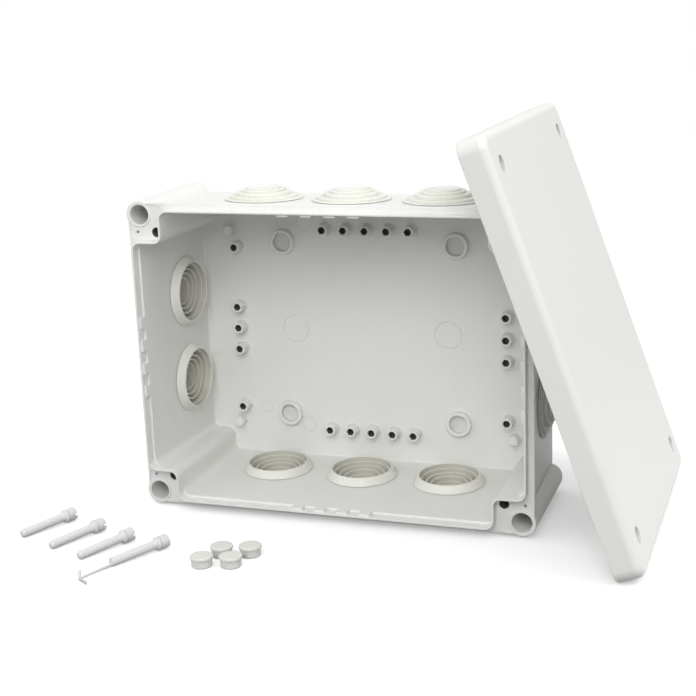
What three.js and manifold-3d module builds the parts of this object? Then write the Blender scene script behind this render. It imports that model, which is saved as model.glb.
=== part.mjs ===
// Electrical junction box, shown open: a moulded base with ten stepped cable glands, its lid leaning
// on one corner, four lid screws and four blanking caps laid out on the floor beside it.
// Millimetres. X is to the right, Y runs into the box, Z is up. The origin is the middle of the
// base's back face, the face that goes against a wall.
import * as THREE from 'three';
import { mergeVertices } from 'three/addons/utils/BufferGeometryUtils.js';
import Module from 'manifold-3d';

const wasm = await Module();
wasm.setup();

const DEG = Math.PI / 180;
const OVERRUN = 1; // how far every cutter runs past the face that it opens
const SINK = 0.5; // how far a feature is let into the wall that it grows from
const SEAT_GAP = 0.3; // gap between two pieces that touch
const WELD = 1e-5;
const BEARING_ROUNDS = 4; // the lid's place on the tube is found in so many rounds

// Outside of the box, measured across the corner tubes
const BOX_WIDTH = 220;
const BOX_HEIGHT = 170;
const BASE_DEPTH = 76; // ledge to back face
const HALF_WIDTH = BOX_WIDTH / 2;
const HALF_HEIGHT = BOX_HEIGHT / 2;

// Walls of the base
const WALL = 2.3;
const BACK_WALL = 2.2;
const DRAFT_ANGLE = 1.7 * DEG;
const CAVITY_INSET = 6.3; // outside size to the inside of a wall, at the ledge
const LEDGE_SETBACK = 0.2; // the lid bears on the rings of the tubes
const SKIRT_INSET = 0.8;
const SKIRT_DEPTH = 3;
const FLARE_DEPTH = 4;
const BACK_EDGE = 1.2;
const OUTER_CORNER_RADIUS = 9; // tucked inside the tubes
const CAVITY_CORNER_RADIUS = 4;

// Sealing lip round the cavity, and the teeth that back it
const LIP_HEIGHT = 5.8;
const LIP_THICKNESS = 1.2;
const LIP_STEP = 1.2; // the wall below the lip is thicker by this on the inside
const TOOTH_WIDTH = 6.2;
const TOOTH_PITCH = 12.7;
const TOOTH_COUNT = 4;
const TOOTH_SETBACK = 1.2;

// Corner pillars with a wall-fixing tube, a lid screw hole and a tie hole each
const PILLAR_SIZE = 22;
const PILLAR_RADIUS = 4.5;
const TUBE_RADIUS = 7.4;
const TUBE_BORE_RADIUS = 5.3;
const TUBE_FLOOR = 5;
const TUBE_END_RADIUS = 4.5;
const WALL_SCREW_RADIUS = 2.7;
const RING_WIDTH = 1.2; // ring round the mouth of the tube
const RIM_INSET = 2; // outside size to the recessed pillar face
const FACE_RECESS = 0.6;
const LID_SCREW_INSET = 16.7;
const PILOT_RADIUS = 2.6;
const PILOT_DEPTH = 30;
const TIE_HOLE_RADIUS = 0.8;
const TIE_HOLE_INSET = 5.7;
const TIE_HOLE_DEPTH = 8;
const POCKET_DEPTH = 50;
const POCKET_WALL = 2;

// Back wall: screw posts, mounting rings, stubs and knock-outs
const POST_RADIUS = 3.2;
const POST_BASE_RADIUS = 3.6;
const POST_HOLE_RADIUS = 1.85;
const POST_HEIGHT = 6.7;
const POST_PITCH = 12.6;
const POST_ROW_COUNT = 5;
const POST_COLUMN_COUNT = 3;
const POST_ROW_HEIGHT = 58.9;
const POST_COLUMN_OFFSET = 79.5;
const POST_OUTER_HEIGHT = 47.7;
const BOSS_RADIUS = 7.2;
const BOSS_BORE_RADIUS = 5.3;
const BOSS_HEIGHT = 3.4;
const BOSS_OFFSET = 51;
const STUB_RADIUS = 3;
const STUB_HEIGHT = 6.2;
const STUB_X = 83;
const STUB_Z = 57.6;
const KNOCKOUT_RADIUS = 8;
const KNOCKOUT_OFFSET = 45.5;
const SCORE_WIDTH = 0.9;
const SCORE_DEPTH = 0.5;

// Stepped cable glands
const GLAND_PITCH = 51;
const GLAND_DEPTH = 49.4; // ledge to gland centre
const GLAND_HEIGHT = 6.6; // tip above the wall
const GLAND_NECK_RADIUS = 17.6;
const GLAND_NECK_CLEARANCE = 0.4;
const GLAND_FLANGE_RADIUS = 21.6;
const GLAND_FLANGE = 0.7;
const GLAND_STEP_RADII = [18.8, 15, 12, 9.8];
const GLAND_STEP_HEIGHT_SHARES = [0.36, 0.66, 0.88, 1]; // of the gland height
const GLAND_SKIN = 1.2;
const GLAND_COLLAR_RADIUS = 20.2;
const GLAND_COLLAR_HEIGHT = 4.2;
const GLAND_MOUTH_RADIUS = 16.9;

// Lid
const LID_DEPTH = 14;
const LID_FACE = 2.2;
const LID_WALL = 2.4;
const LID_EDGE_RADIUS = 3.8;
const LID_INNER_RADIUS = 5;
const LID_LEAN = 20 * DEG;
const LID_SETBACK = 38; // ledge to the lid's middle, along Y
const HEAD_BORE_RADIUS = 4.2;
const HEAD_BORE_DEPTH = 6.2;
const HEAD_BORE_WALL = 1.2;
const GASKET_THICKNESS = 1.8;
const GASKET_SQUEEZE = 0.5;
const GROOVE_SIDE = 0.9; // groove wall to lip, on either side
const RIB_THICKNESS = 1.2;
const RIB_HEIGHT = 3.9;

// Lid screws
const SCREW_LENGTH = 34;
const SHANK_RADIUS = 2.45;
const SHANK_CLEARANCE = 0.15;
const TIP_RADIUS = 1.5;
const TIP_LENGTH = 1.2;
const HEAD_LENGTH = 6.5;
const HEAD_RADIUS = 3.55;
const COLLAR_RADIUS = 3.7;
const COLLAR_THICKNESS = 1.2;
const NECK_LENGTH = 0.9;
const HEAD_GROOVE_RADIUS = 3;
const HEAD_GROOVE_WIDTH = 0.5;
const SLOT_WIDTH = 1.8;
const SLOT_DEPTH = 2.4;
const TAIL_RADIUS = 0.8;
const TAIL_LENGTH = 25.5;
const TAIL_BEND = -21.7 * DEG;
const TAIL_RISE = 3.3;
const BARB_LENGTH = 5.6;
const BARB_WIDTH = 1.4;
const BARB_THICKNESS = 1.2;
const BARB_ANGLE = 48.6 * DEG;
const BARB_ROLL = 60.8 * DEG;

// Blanking caps for the mounting rings
const CAP_RADIUS = 5.25;
const CAP_FLANGE_RADIUS = 5.9;
const CAP_FLANGE = 1.6;
const CAP_HEIGHT = 5.8;
const CAP_CHAMFER = 0.5;

// Where the loose pieces lie: shares of the half width, and of the base depth in front of the ledge.
// The caps lie round one spot, apart by shares of their flange radius.
const SCREW_TIP_SHARES = [[-1.3958, 0.8229], [-1.183, 0.9561], [-0.9891, 1.0661], [-0.8025, 1.1063]];
const SCREW_HEADINGS = [64.6 * DEG, 64.9 * DEG, 63.8 * DEG, 60.9 * DEG];
const CAP_SPOT_SHARES = [-0.3146, 0.8272];
const CAP_OFFSET_SHARES = [[-1.593, -1.524], [-0.824, 0.89], [0.842, -0.929], [1.573, 1.563]];

// How many flats stand in for a round
const ROUND_STEPS = { corner: 3, tube: 20, tubeEnd: 3, hole: 16, post: 10, small: 6, gland: 16, screw: 14 };

const SHADES = {
  base: { color: 0xd7d8d3, roughness: 0.45, metalness: 0 },
  lid: { color: 0xe6e6e1, roughness: 0.4, metalness: 0 },
  gland: { color: 0xcfcabf, roughness: 0.6, metalness: 0 },
  gasket: { color: 0x6f706c, roughness: 0.8, metalness: 0 },
  screw: { color: 0xdededa, roughness: 0.4, metalness: 0 },
  cap: { color: 0xdfe0dc, roughness: 0.45, metalness: 0 },
};

// Solids

// A closed geometry becomes a solid, turned right side out.
function solidOf(geometry) {
  const bare = geometry.index ? geometry.toNonIndexed() : geometry.clone();
  bare.deleteAttribute('normal');
  bare.deleteAttribute('uv');
  const merged = mergeVertices(bare, WELD);
  const vertProperties = new Float32Array(merged.attributes.position.array);
  const corners = Array.from(merged.index.array);
  const triVerts = [];
  for (let i = 0; i < corners.length; i += 3) {
    const [a, b, c] = corners.slice(i, i + 3);
    if (a !== b && b !== c && c !== a) triVerts.push(a, b, c);
  }
  if (signedVolume(vertProperties, triVerts) < 0) triVerts.reverse();
  const mesh = new wasm.Mesh({ numProp: 3, vertProperties, triVerts: new Uint32Array(triVerts) });
  return new wasm.Manifold(mesh);
}

function signedVolume(points, corners) {
  const at = (i) => new THREE.Vector3().fromArray(points, corners[i] * 3);
  let sum = 0;
  for (let i = 0; i < corners.length; i += 3) sum += at(i).dot(at(i + 1).cross(at(i + 2)));
  return sum;
}

function geometryOf(solid) {
  const mesh = solid.getMesh();
  const geometry = new THREE.BufferGeometry();
  const places = new THREE.BufferAttribute(new Float32Array(mesh.vertProperties), mesh.numProp);
  geometry.setAttribute('position', places);
  geometry.setIndex(new THREE.BufferAttribute(new Uint32Array(mesh.triVerts), 1));
  geometry.computeVertexNormals();
  return geometry;
}

const joined = (solids) => solids.reduce((sum, solid) => sum.add(solid));

// A round bar along Y from one depth to another.
function bar(x, z, radius, from, to, steps, endRadius = radius) {
  const geometry = new THREE.CylinderGeometry(endRadius, radius, to - from, steps);
  return solidOf(geometry.translate(x, (from + to) / 2, z));
}

// A slab along Y: an outline in X and Z, from one depth to another.
function slab(outline, from, to) {
  const shape = new THREE.Shape(outline);
  const geometry = new THREE.ExtrudeGeometry(shape, { depth: to - from, bevelEnabled: false });
  return solidOf(geometry.rotateX(Math.PI / 2).translate(0, to, 0));
}

// A box between two opposite corners.
function block(a, b) {
  const middle = new THREE.Vector3().addVectors(a, b).multiplyScalar(0.5);
  const sides = [Math.abs(a.x - b.x), Math.abs(a.y - b.y), Math.abs(a.z - b.z)];
  return solidOf(new THREE.BoxGeometry(...sides).translate(...middle));
}

// A solid through outlines of equal point counts at growing depths.
function loft(stations) {
  const count = stations[0].outline.length;
  const points = stations.flatMap(({ depth, outline }) => outline.flatMap((p) => [p.x, depth, p.y]));
  const index = [];
  for (let s = 0; s + 1 < stations.length; s += 1) {
    for (let i = 0; i < count; i += 1) {
      const [a, b] = [s * count + i, s * count + ((i + 1) % count)];
      index.push(a, a + count, b + count, a, b + count, b);
    }
  }
  const last = (stations.length - 1) * count;
  for (const [a, b, c] of THREE.ShapeUtils.triangulateShape(stations[0].outline, [])) {
    index.push(a, b, c, last + c, last + b, last + a);
  }
  const geometry = new THREE.BufferGeometry();
  geometry.setAttribute('position', new THREE.Float32BufferAttribute(points, 3));
  geometry.setIndex(index);
  return solidOf(geometry);
}

// An outline with right-angled corners, each rounded by its own radius.
function roundedOutline(corners) {
  return corners.flatMap(({ x, z, radius }, i) => {
    const before = corners[(i + corners.length - 1) % corners.length];
    const after = corners[(i + 1) % corners.length];
    const corner = new THREE.Vector2(x, z);
    const inward = new THREE.Vector2(before.x - x, before.z - z).normalize().multiplyScalar(radius);
    const onward = new THREE.Vector2(after.x - x, after.z - z).normalize().multiplyScalar(radius);
    const steps = ROUND_STEPS.corner;
    return Array.from({ length: steps + 1 }, (_, k) => {
      const turn = (Math.PI / 2) * (k / steps);
      return corner.clone()
        .addScaledVector(inward, 1 - Math.sin(turn))
        .addScaledVector(onward, 1 - Math.cos(turn));
    });
  });
}

function rectangle(halfWidth, halfHeight, radius) {
  const signs = [[1, -1], [1, 1], [-1, 1], [-1, -1]];
  return roundedOutline(signs.map(([i, j]) => ({ x: i * halfWidth, z: j * halfHeight, radius })));
}

// The line of the sealing lip: along the walls and round the inside of each pillar. Outset moves it
// outwards everywhere, walls moves it on the walls alone.
function sealLine(outset, walls = 0) {
  const wide = HALF_WIDTH - CAVITY_INSET + LIP_STEP + outset + walls;
  const tall = HALF_HEIGHT - CAVITY_INSET + LIP_STEP + outset + walls;
  const x = HALF_WIDTH - PILLAR_SIZE + outset;
  const z = HALF_HEIGHT - PILLAR_SIZE + outset;
  const outer = CAVITY_CORNER_RADIUS + outset;
  const nose = PILLAR_RADIUS - outset;
  const quarter = [[x, tall, outer], [x, z, nose], [wide, z, outer]];
  const mirror = (i, j) => quarter.map(([px, pz, radius]) => ({ x: i * px, z: j * pz, radius }));
  return roundedOutline([
    ...mirror(1, -1),
    ...mirror(1, 1).reverse(),
    ...mirror(-1, 1),
    ...mirror(-1, -1).reverse(),
  ]);
}

const wallSlope = (depth) => depth * Math.tan(DRAFT_ANGLE);
const wallInset = (depth) => CAVITY_INSET - WALL + wallSlope(depth);
const ofCorners = (make) => [[1, 1], [1, -1], [-1, 1], [-1, -1]].map(([i, j]) => make(i, j));
const TUBE_X = HALF_WIDTH - TUBE_RADIUS;
const TUBE_Z = HALF_HEIGHT - TUBE_RADIUS;
const SCREW_X = HALF_WIDTH - LID_SCREW_INSET;
const SCREW_Z = HALF_HEIGHT - LID_SCREW_INSET;
const CAVITY_DEPTH = BASE_DEPTH - BACK_WALL;

// Base

// Skirt, flare, drafted wall and broken back edge.
function baseShell() {
  const bend = SKIRT_DEPTH + FLARE_DEPTH;
  const edge = BASE_DEPTH - BACK_EDGE;
  const stations = [
    [LEDGE_SETBACK, SKIRT_INSET],
    [SKIRT_DEPTH, SKIRT_INSET],
    [bend, wallInset(bend)],
    [edge, wallInset(edge)],
    [BASE_DEPTH, wallInset(edge) + BACK_EDGE],
  ];
  return loft(stations.map(([depth, inset]) => ({
    depth,
    outline: rectangle(HALF_WIDTH - inset, HALF_HEIGHT - inset, OUTER_CORNER_RADIUS),
  })));
}

function cornerTube(i, j) {
  const rim = Array.from({ length: ROUND_STEPS.tubeEnd + 1 }, (_, k) => {
    const turn = (Math.PI / 2) * (k / ROUND_STEPS.tubeEnd);
    const radius = TUBE_RADIUS - TUBE_END_RADIUS * (1 - Math.cos(turn));
    return new THREE.Vector2(radius, BASE_DEPTH - TUBE_END_RADIUS * (1 - Math.sin(turn)));
  });
  const profile = [new THREE.Vector2(0, 0), new THREE.Vector2(TUBE_RADIUS, 0), ...rim,
    new THREE.Vector2(0, BASE_DEPTH)];
  const geometry = new THREE.LatheGeometry(profile, ROUND_STEPS.tube);
  return solidOf(geometry.translate(i * TUBE_X, 0, j * TUBE_Z));
}

// One tooth: its place along a wall, and how far that wall is from the middle of the box.
function tooth(place, reach, onSide) {
  const from = reach - LIP_STEP - OVERRUN;
  const low = new THREE.Vector3(place - TOOTH_WIDTH / 2, TOOTH_SETBACK - LIP_HEIGHT, from);
  const high = new THREE.Vector3(place + TOOTH_WIDTH / 2, SINK, reach + OVERRUN);
  if (!onSide) return block(low, high);
  return block(new THREE.Vector3(low.z, low.y, low.x), new THREE.Vector3(high.z, high.y, high.x));
}

function teeth() {
  const wide = HALF_WIDTH - CAVITY_INSET + LIP_STEP;
  const tall = HALF_HEIGHT - CAVITY_INSET + LIP_STEP;
  const twoWalls = [];
  for (let k = 0; k < TOOTH_COUNT; k += 1) {
    const place = (k - (TOOTH_COUNT - 1) / 2) * TOOTH_PITCH;
    twoWalls.push(tooth(place, tall, false), tooth(place, wide, true));
  }
  const half = joined(twoWalls);
  return half.add(half.rotate([0, 180, 0]));
}

// The room inside the base: the drafted cavity and the wider band behind the lip, less the teeth.
function baseCavity() {
  const front = -LIP_HEIGHT - OVERRUN;
  const main = loft([
    { depth: front, outline: sealLine(0, -LIP_STEP) },
    { depth: 0, outline: sealLine(0, -LIP_STEP) },
    { depth: CAVITY_DEPTH, outline: sealLine(0, -LIP_STEP - wallSlope(CAVITY_DEPTH)) },
  ]);
  return main.add(slab(sealLine(0), front, 0).subtract(teeth()));
}

// The shallow floor between the sealing lip, the outer rim and the ring of the tube.
function pillarFace(i, j) {
  const half = (PILLAR_SIZE - RIM_INSET - LIP_THICKNESS / 2) / 2;
  const middle = new THREE.Vector2(i * (HALF_WIDTH - RIM_INSET - half), j * (HALF_HEIGHT - RIM_INSET - half));
  const outline = rectangle(half, half, TUBE_RADIUS - RIM_INSET).map((corner) => corner.add(middle));
  const ring = TUBE_BORE_RADIUS + RING_WIDTH;
  return slab(outline, -OVERRUN, FACE_RECESS)
    .subtract(bar(i * TUBE_X, j * TUBE_Z, ring, -2 * OVERRUN, BASE_DEPTH, ROUND_STEPS.tube));
}

// The pillar is cored out from behind, round the tube and the screw boss.
function pillarPocket(i, j) {
  const outer = wallInset(BASE_DEPTH) + WALL;
  const inner = PILLAR_SIZE - POCKET_WALL;
  const [from, to] = [BASE_DEPTH - POCKET_DEPTH, BASE_DEPTH + OVERRUN];
  const pocket = block(
    new THREE.Vector3(i * (HALF_WIDTH - inner), from, j * (HALF_HEIGHT - inner)),
    new THREE.Vector3(i * (HALF_WIDTH - outer), to, j * (HALF_HEIGHT - outer)),
  );
  const boss = PILOT_RADIUS + POCKET_WALL;
  return pocket
    .subtract(bar(i * TUBE_X, j * TUBE_Z, TUBE_RADIUS, from - OVERRUN, to + OVERRUN, ROUND_STEPS.tube))
    .subtract(bar(i * SCREW_X, j * SCREW_Z, boss, from - OVERRUN, PILOT_DEPTH + POCKET_WALL, ROUND_STEPS.post));
}

function pillarHoles(i, j) {
  const [x, z] = [i * TUBE_X, j * TUBE_Z];
  const floor = BASE_DEPTH - TUBE_FLOOR;
  return joined([
    bar(x, z, TUBE_BORE_RADIUS, -OVERRUN, floor, ROUND_STEPS.hole),
    bar(x, z, WALL_SCREW_RADIUS, floor - OVERRUN, BASE_DEPTH + OVERRUN, ROUND_STEPS.post),
    bar(i * SCREW_X, j * SCREW_Z, PILOT_RADIUS, -OVERRUN, PILOT_DEPTH, ROUND_STEPS.post),
    bar(i * (HALF_WIDTH - TIE_HOLE_INSET), j * SCREW_Z, TIE_HOLE_RADIUS, -OVERRUN, TIE_HOLE_DEPTH,
      ROUND_STEPS.small),
  ]);
}

// Rows along top and bottom, columns at the sides with one more post at each end.
function postPlaces() {
  const places = [];
  for (let k = 0; k < POST_ROW_COUNT; k += 1) {
    const x = (k - (POST_ROW_COUNT - 1) / 2) * POST_PITCH;
    places.push([x, POST_ROW_HEIGHT], [x, -POST_ROW_HEIGHT]);
  }
  const heights = [POST_OUTER_HEIGHT, -POST_OUTER_HEIGHT];
  for (let k = 0; k < POST_COLUMN_COUNT; k += 1) heights.push((k - (POST_COLUMN_COUNT - 1) / 2) * POST_PITCH);
  for (const z of heights) places.push([POST_COLUMN_OFFSET, z], [-POST_COLUMN_OFFSET, z]);
  return places;
}

function post([x, z]) {
  const tip = CAVITY_DEPTH - POST_HEIGHT;
  return bar(x, z, POST_RADIUS, tip, CAVITY_DEPTH + SINK, ROUND_STEPS.post, POST_BASE_RADIUS)
    .subtract(bar(x, z, POST_HOLE_RADIUS, tip - OVERRUN, CAVITY_DEPTH, ROUND_STEPS.small));
}

function mountingRing(i, j) {
  const [x, z] = [i * BOSS_OFFSET, j * BOSS_OFFSET];
  const tip = CAVITY_DEPTH - BOSS_HEIGHT;
  return bar(x, z, BOSS_RADIUS, tip, CAVITY_DEPTH + SINK, ROUND_STEPS.hole)
    .subtract(bar(x, z, BOSS_BORE_RADIUS, tip - OVERRUN, CAVITY_DEPTH, ROUND_STEPS.hole));
}

function stub(i, j) {
  const from = CAVITY_DEPTH - STUB_HEIGHT;
  return bar(i * STUB_X, j * STUB_Z, STUB_RADIUS, from, CAVITY_DEPTH + SINK, ROUND_STEPS.post);
}

function knockoutScore(side) {
  const x = side * KNOCKOUT_OFFSET;
  const to = CAVITY_DEPTH + SCORE_DEPTH;
  const from = CAVITY_DEPTH - OVERRUN;
  const core = KNOCKOUT_RADIUS - SCORE_WIDTH;
  return bar(x, 0, KNOCKOUT_RADIUS, from, to, ROUND_STEPS.hole)
    .subtract(bar(x, 0, core, from - OVERRUN, to + OVERRUN, ROUND_STEPS.hole));
}

function baseSolid(holes) {
  const lip = slab(sealLine(LIP_THICKNESS), -LIP_HEIGHT, SKIRT_DEPTH);
  const body = joined([baseShell(), ...ofCorners(cornerTube)])
    .subtract(joined(ofCorners(pillarFace)))
    .add(lip)
    .subtract(baseCavity())
    .subtract(joined(ofCorners(pillarPocket)))
    .subtract(joined(ofCorners(pillarHoles)))
    .subtract(joined(holes))
    .subtract(joined([knockoutScore(1), knockoutScore(-1)]));
  return joined([body, ...postPlaces().map(post), ...ofCorners(mountingRing), ...ofCorners(stub)]);
}

// Cable glands

// Where each gland sits: the middle of its hole on the outside of its wall, and the way it points.
function glandPlaces() {
  const inset = wallInset(GLAND_DEPTH);
  const places = [];
  for (const [wall, sign] of [['top', 1], ['bottom', -1]]) {
    for (const k of [-1, 0, 1]) {
      const at = new THREE.Vector3(k * GLAND_PITCH, GLAND_DEPTH, sign * (HALF_HEIGHT - inset));
      places.push({ name: `gland_${wall}_${k + 2}`, at, turn: sign > 0 ? 0 : Math.PI });
    }
  }
  for (const [wall, sign] of [['left', -1], ['right', 1]]) {
    for (const k of [1, -1]) {
      const at = new THREE.Vector3(sign * (HALF_WIDTH - inset), GLAND_DEPTH, k * GLAND_PITCH / 2);
      places.push({ name: `gland_${wall}_${k > 0 ? 1 : 2}`, at, turn: sign * Math.PI / 2 });
    }
  }
  return places;
}

// Radius and height of the gland's section, outside first: tip, steps, flange, the neck in the wall,
// the collar and its mouth inside the box, then the steps again from below.
function glandProfile() {
  const inner = -(WALL + SEAT_GAP);
  const mouth = inner - GLAND_COLLAR_HEIGHT;
  const heights = GLAND_STEP_HEIGHT_SHARES.map((share) => share * GLAND_HEIGHT);
  const last = GLAND_STEP_RADII.length - 1;
  const outside = [];
  for (let k = last; k >= 0; k -= 1) {
    const foot = k > 0 ? heights[k - 1] : SEAT_GAP + GLAND_FLANGE;
    outside.push([GLAND_STEP_RADII[k], heights[k]], [GLAND_STEP_RADII[k], foot]);
  }
  const [outer, middle, , core] = GLAND_STEP_RADII.map((radius) => radius - GLAND_SKIN);
  const tip = GLAND_HEIGHT - GLAND_SKIN;
  return [
    [0, GLAND_HEIGHT], ...outside,
    [GLAND_FLANGE_RADIUS, SEAT_GAP + GLAND_FLANGE / 2], [GLAND_FLANGE_RADIUS, SEAT_GAP],
    [GLAND_NECK_RADIUS, SEAT_GAP], [GLAND_NECK_RADIUS, inner],
    [GLAND_COLLAR_RADIUS, inner], [GLAND_MOUTH_RADIUS, mouth],
    [outer - GLAND_SKIN, heights[0] - GLAND_SKIN], [middle, heights[0] - GLAND_SKIN],
    [middle, heights[1] - GLAND_SKIN], [core, heights[1] - GLAND_SKIN], [core, tip], [0, tip],
  ].map(([radius, height]) => new THREE.Vector2(radius, height));
}

// The flange lies along the drafted wall while the tip stays level, so that the box stands on it.
function glandGeometry() {
  const geometry = new THREE.LatheGeometry(glandProfile(), ROUND_STEPS.gland).rotateX(Math.PI / 2);
  const places = geometry.attributes.position;
  for (let i = 0; i < places.count; i += 1) {
    const share = Math.min(1, 1 - places.getZ(i) / GLAND_HEIGHT);
    places.setZ(i, places.getZ(i) - wallSlope(places.getY(i)) * share);
  }
  return geometryOf(solidOf(geometry));
}

function glandHole({ at, turn }) {
  const radius = GLAND_NECK_RADIUS + GLAND_NECK_CLEARANCE;
  const reach = 2 * (WALL + OVERRUN);
  const geometry = new THREE.CylinderGeometry(radius, radius, 2 * reach, ROUND_STEPS.gland);
  geometry.rotateX(Math.PI / 2).rotateY(turn).translate(at.x, at.y, at.z);
  return solidOf(geometry);
}

// Lid, in its closed place: the rim on the ledge and the face towards the front

function lidShell() {
  const stations = [];
  const steps = ROUND_STEPS.corner;
  for (let k = 0; k <= steps; k += 1) {
    const turn = (Math.PI / 2) * (k / steps);
    const inset = LID_EDGE_RADIUS * (1 - Math.sin(turn));
    const depth = LID_EDGE_RADIUS * (1 - Math.cos(turn)) - LID_DEPTH;
    stations.push({ depth, outline: rectangle(HALF_WIDTH - inset, HALF_HEIGHT - inset, TUBE_RADIUS) });
  }
  stations.push({ depth: 0, outline: rectangle(HALF_WIDTH, HALF_HEIGHT, TUBE_RADIUS) });
  const room = slab(
    rectangle(HALF_WIDTH - LID_WALL, HALF_HEIGHT - LID_WALL, LID_INNER_RADIUS), LID_FACE - LID_DEPTH, OVERRUN,
  );
  return loft(stations).subtract(room);
}

const GROOVE_FLOOR = -(LIP_HEIGHT - GASKET_SQUEEZE + GASKET_THICKNESS + SEAT_GAP);

// The ridge that carries the gasket, and the rib that keeps it in place.
function gasketRidge() {
  const inner = -(GROOVE_SIDE + RIB_THICKNESS);
  const toWall = CAVITY_INSET - LIP_STEP - LID_WALL + SINK;
  const back = LID_FACE - LID_DEPTH - SINK;
  const ridge = slab(sealLine(toWall), back, GROOVE_FLOOR)
    .subtract(slab(sealLine(inner), back - OVERRUN, GROOVE_FLOOR + OVERRUN));
  const rib = slab(sealLine(-GROOVE_SIDE), GROOVE_FLOOR - SINK, GROOVE_FLOOR + RIB_HEIGHT)
    .subtract(slab(sealLine(inner), GROOVE_FLOOR - OVERRUN, GROOVE_FLOOR + RIB_HEIGHT + OVERRUN));
  return ridge.add(rib);
}

function lidBoss(i, j) {
  const radius = HEAD_BORE_RADIUS + HEAD_BORE_WALL;
  return bar(i * SCREW_X, j * SCREW_Z, radius, LID_FACE - LID_DEPTH - SINK, 0, ROUND_STEPS.hole);
}

function lidScrewHole(i, j) {
  const [x, z] = [i * SCREW_X, j * SCREW_Z];
  const seat = HEAD_BORE_DEPTH - LID_DEPTH;
  return bar(x, z, HEAD_BORE_RADIUS, -LID_DEPTH - OVERRUN, seat, ROUND_STEPS.hole)
    .add(bar(x, z, SHANK_RADIUS + SHANK_CLEARANCE, seat - OVERRUN, OVERRUN, ROUND_STEPS.post));
}

function lidSolid() {
  const groove = slab(sealLine(LIP_THICKNESS + GROOVE_SIDE), GROOVE_FLOOR, OVERRUN)
    .subtract(slab(sealLine(-GROOVE_SIDE), GROOVE_FLOOR - OVERRUN, 2 * OVERRUN));
  return joined([lidShell(), gasketRidge(), ...ofCorners(lidBoss)])
    .subtract(groove)
    .subtract(joined(ofCorners(lidScrewHole)));
}

function gasketSolid() {
  const side = GROOVE_SIDE - SEAT_GAP;
  const [from, to] = [GROOVE_FLOOR + SEAT_GAP, GROOVE_FLOOR + SEAT_GAP + GASKET_THICKNESS];
  return slab(sealLine(LIP_THICKNESS + side), from, to)
    .subtract(slab(sealLine(-side), from - OVERRUN, to + OVERRUN));
}

// Screws, along Z with the tip at zero, and caps, standing on their body

function screwProfile(tailed) {
  const headFrom = SCREW_LENGTH - HEAD_LENGTH;
  const grooveFrom = headFrom + COLLAR_THICKNESS;
  const tip = tailed ? [[0, 0], [SHANK_RADIUS, 0]] : [[0, 0], [TIP_RADIUS, 0], [SHANK_RADIUS, TIP_LENGTH]];
  return [
    ...tip,
    [SHANK_RADIUS, headFrom - NECK_LENGTH], [HEAD_RADIUS, headFrom],
    [COLLAR_RADIUS, headFrom], [COLLAR_RADIUS, grooveFrom],
    [HEAD_GROOVE_RADIUS, grooveFrom], [HEAD_GROOVE_RADIUS, grooveFrom + HEAD_GROOVE_WIDTH],
    [HEAD_RADIUS, grooveFrom + HEAD_GROOVE_WIDTH], [HEAD_RADIUS, SCREW_LENGTH], [0, SCREW_LENGTH],
  ].map(([radius, height]) => new THREE.Vector2(radius, height));
}

// The slot runs across X, level when the screw lies down.
function screwSolid(tailed) {
  const body = solidOf(new THREE.LatheGeometry(screwProfile(tailed), ROUND_STEPS.screw).rotateX(Math.PI / 2));
  const reach = COLLAR_RADIUS + OVERRUN;
  const slot = block(
    new THREE.Vector3(-reach, -SLOT_WIDTH / 2, SCREW_LENGTH - SLOT_DEPTH),
    new THREE.Vector3(reach, SLOT_WIDTH / 2, SCREW_LENGTH + OVERRUN),
  );
  return body.subtract(slot);
}

// How far a screw tilts, lying on the rim of its head's collar and on its tip.
function lyingTilt(tipFrom) {
  return Math.atan((COLLAR_RADIUS - SHANK_RADIUS) / (SCREW_LENGTH - HEAD_LENGTH - tipFrom));
}

// A thin tail leaves the underside of the shank and ends in an anchor with two swept-back barbs. The
// anchor lies rolled over, so that one barb bears on the floor and the other stands up.
function tailSolid() {
  const under = SHANK_RADIUS - TAIL_RADIUS;
  const end = new THREE.Vector3(
    -TAIL_LENGTH * Math.sin(TAIL_BEND),
    under - TAIL_RISE - TAIL_LENGTH * Math.tan(lyingTilt(0)),
    -TAIL_LENGTH * Math.cos(TAIL_BEND),
  );
  const start = new THREE.Vector3(0, under, 0);
  const route = new THREE.CatmullRomCurve3([
    new THREE.Vector3(0, under, TIP_LENGTH),
    start,
    start.clone().lerp(end, TAIL_RADIUS / TAIL_LENGTH),
    end,
  ]);
  const section = new THREE.Shape();
  section.absarc(0, 0, TAIL_RADIUS, 0, 2 * Math.PI);
  const tail = solidOf(new THREE.ExtrudeGeometry(section, {
    steps: ROUND_STEPS.small, curveSegments: ROUND_STEPS.small / 2, extrudePath: route,
  }));
  return joined([tail, barb(end, 1), barb(end, -1)]);
}

function barb(end, side) {
  const low = new THREE.Vector3(-BARB_WIDTH / 2, -BARB_THICKNESS / 2, -BARB_WIDTH / 2);
  const high = new THREE.Vector3(BARB_WIDTH / 2, BARB_THICKNESS / 2, BARB_LENGTH - BARB_WIDTH / 2);
  const pitch = Math.atan2(end.y, TAIL_LENGTH);
  return block(low, high)
    .rotate([0, side * BARB_ANGLE / DEG, BARB_ROLL / DEG])
    .rotate([pitch / DEG, TAIL_BEND / DEG, 0])
    .translate([end.x, end.y, end.z]);
}

function capSolid() {
  const profile = [
    [0, 0], [CAP_RADIUS - CAP_CHAMFER, 0], [CAP_RADIUS, CAP_CHAMFER], [CAP_RADIUS, CAP_HEIGHT - CAP_FLANGE],
    [CAP_FLANGE_RADIUS, CAP_HEIGHT - CAP_FLANGE], [CAP_FLANGE_RADIUS, CAP_HEIGHT], [0, CAP_HEIGHT],
  ].map(([radius, height]) => new THREE.Vector2(radius, height));
  return solidOf(new THREE.LatheGeometry(profile, ROUND_STEPS.hole).rotateX(Math.PI / 2));
}

// Assembly

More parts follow.
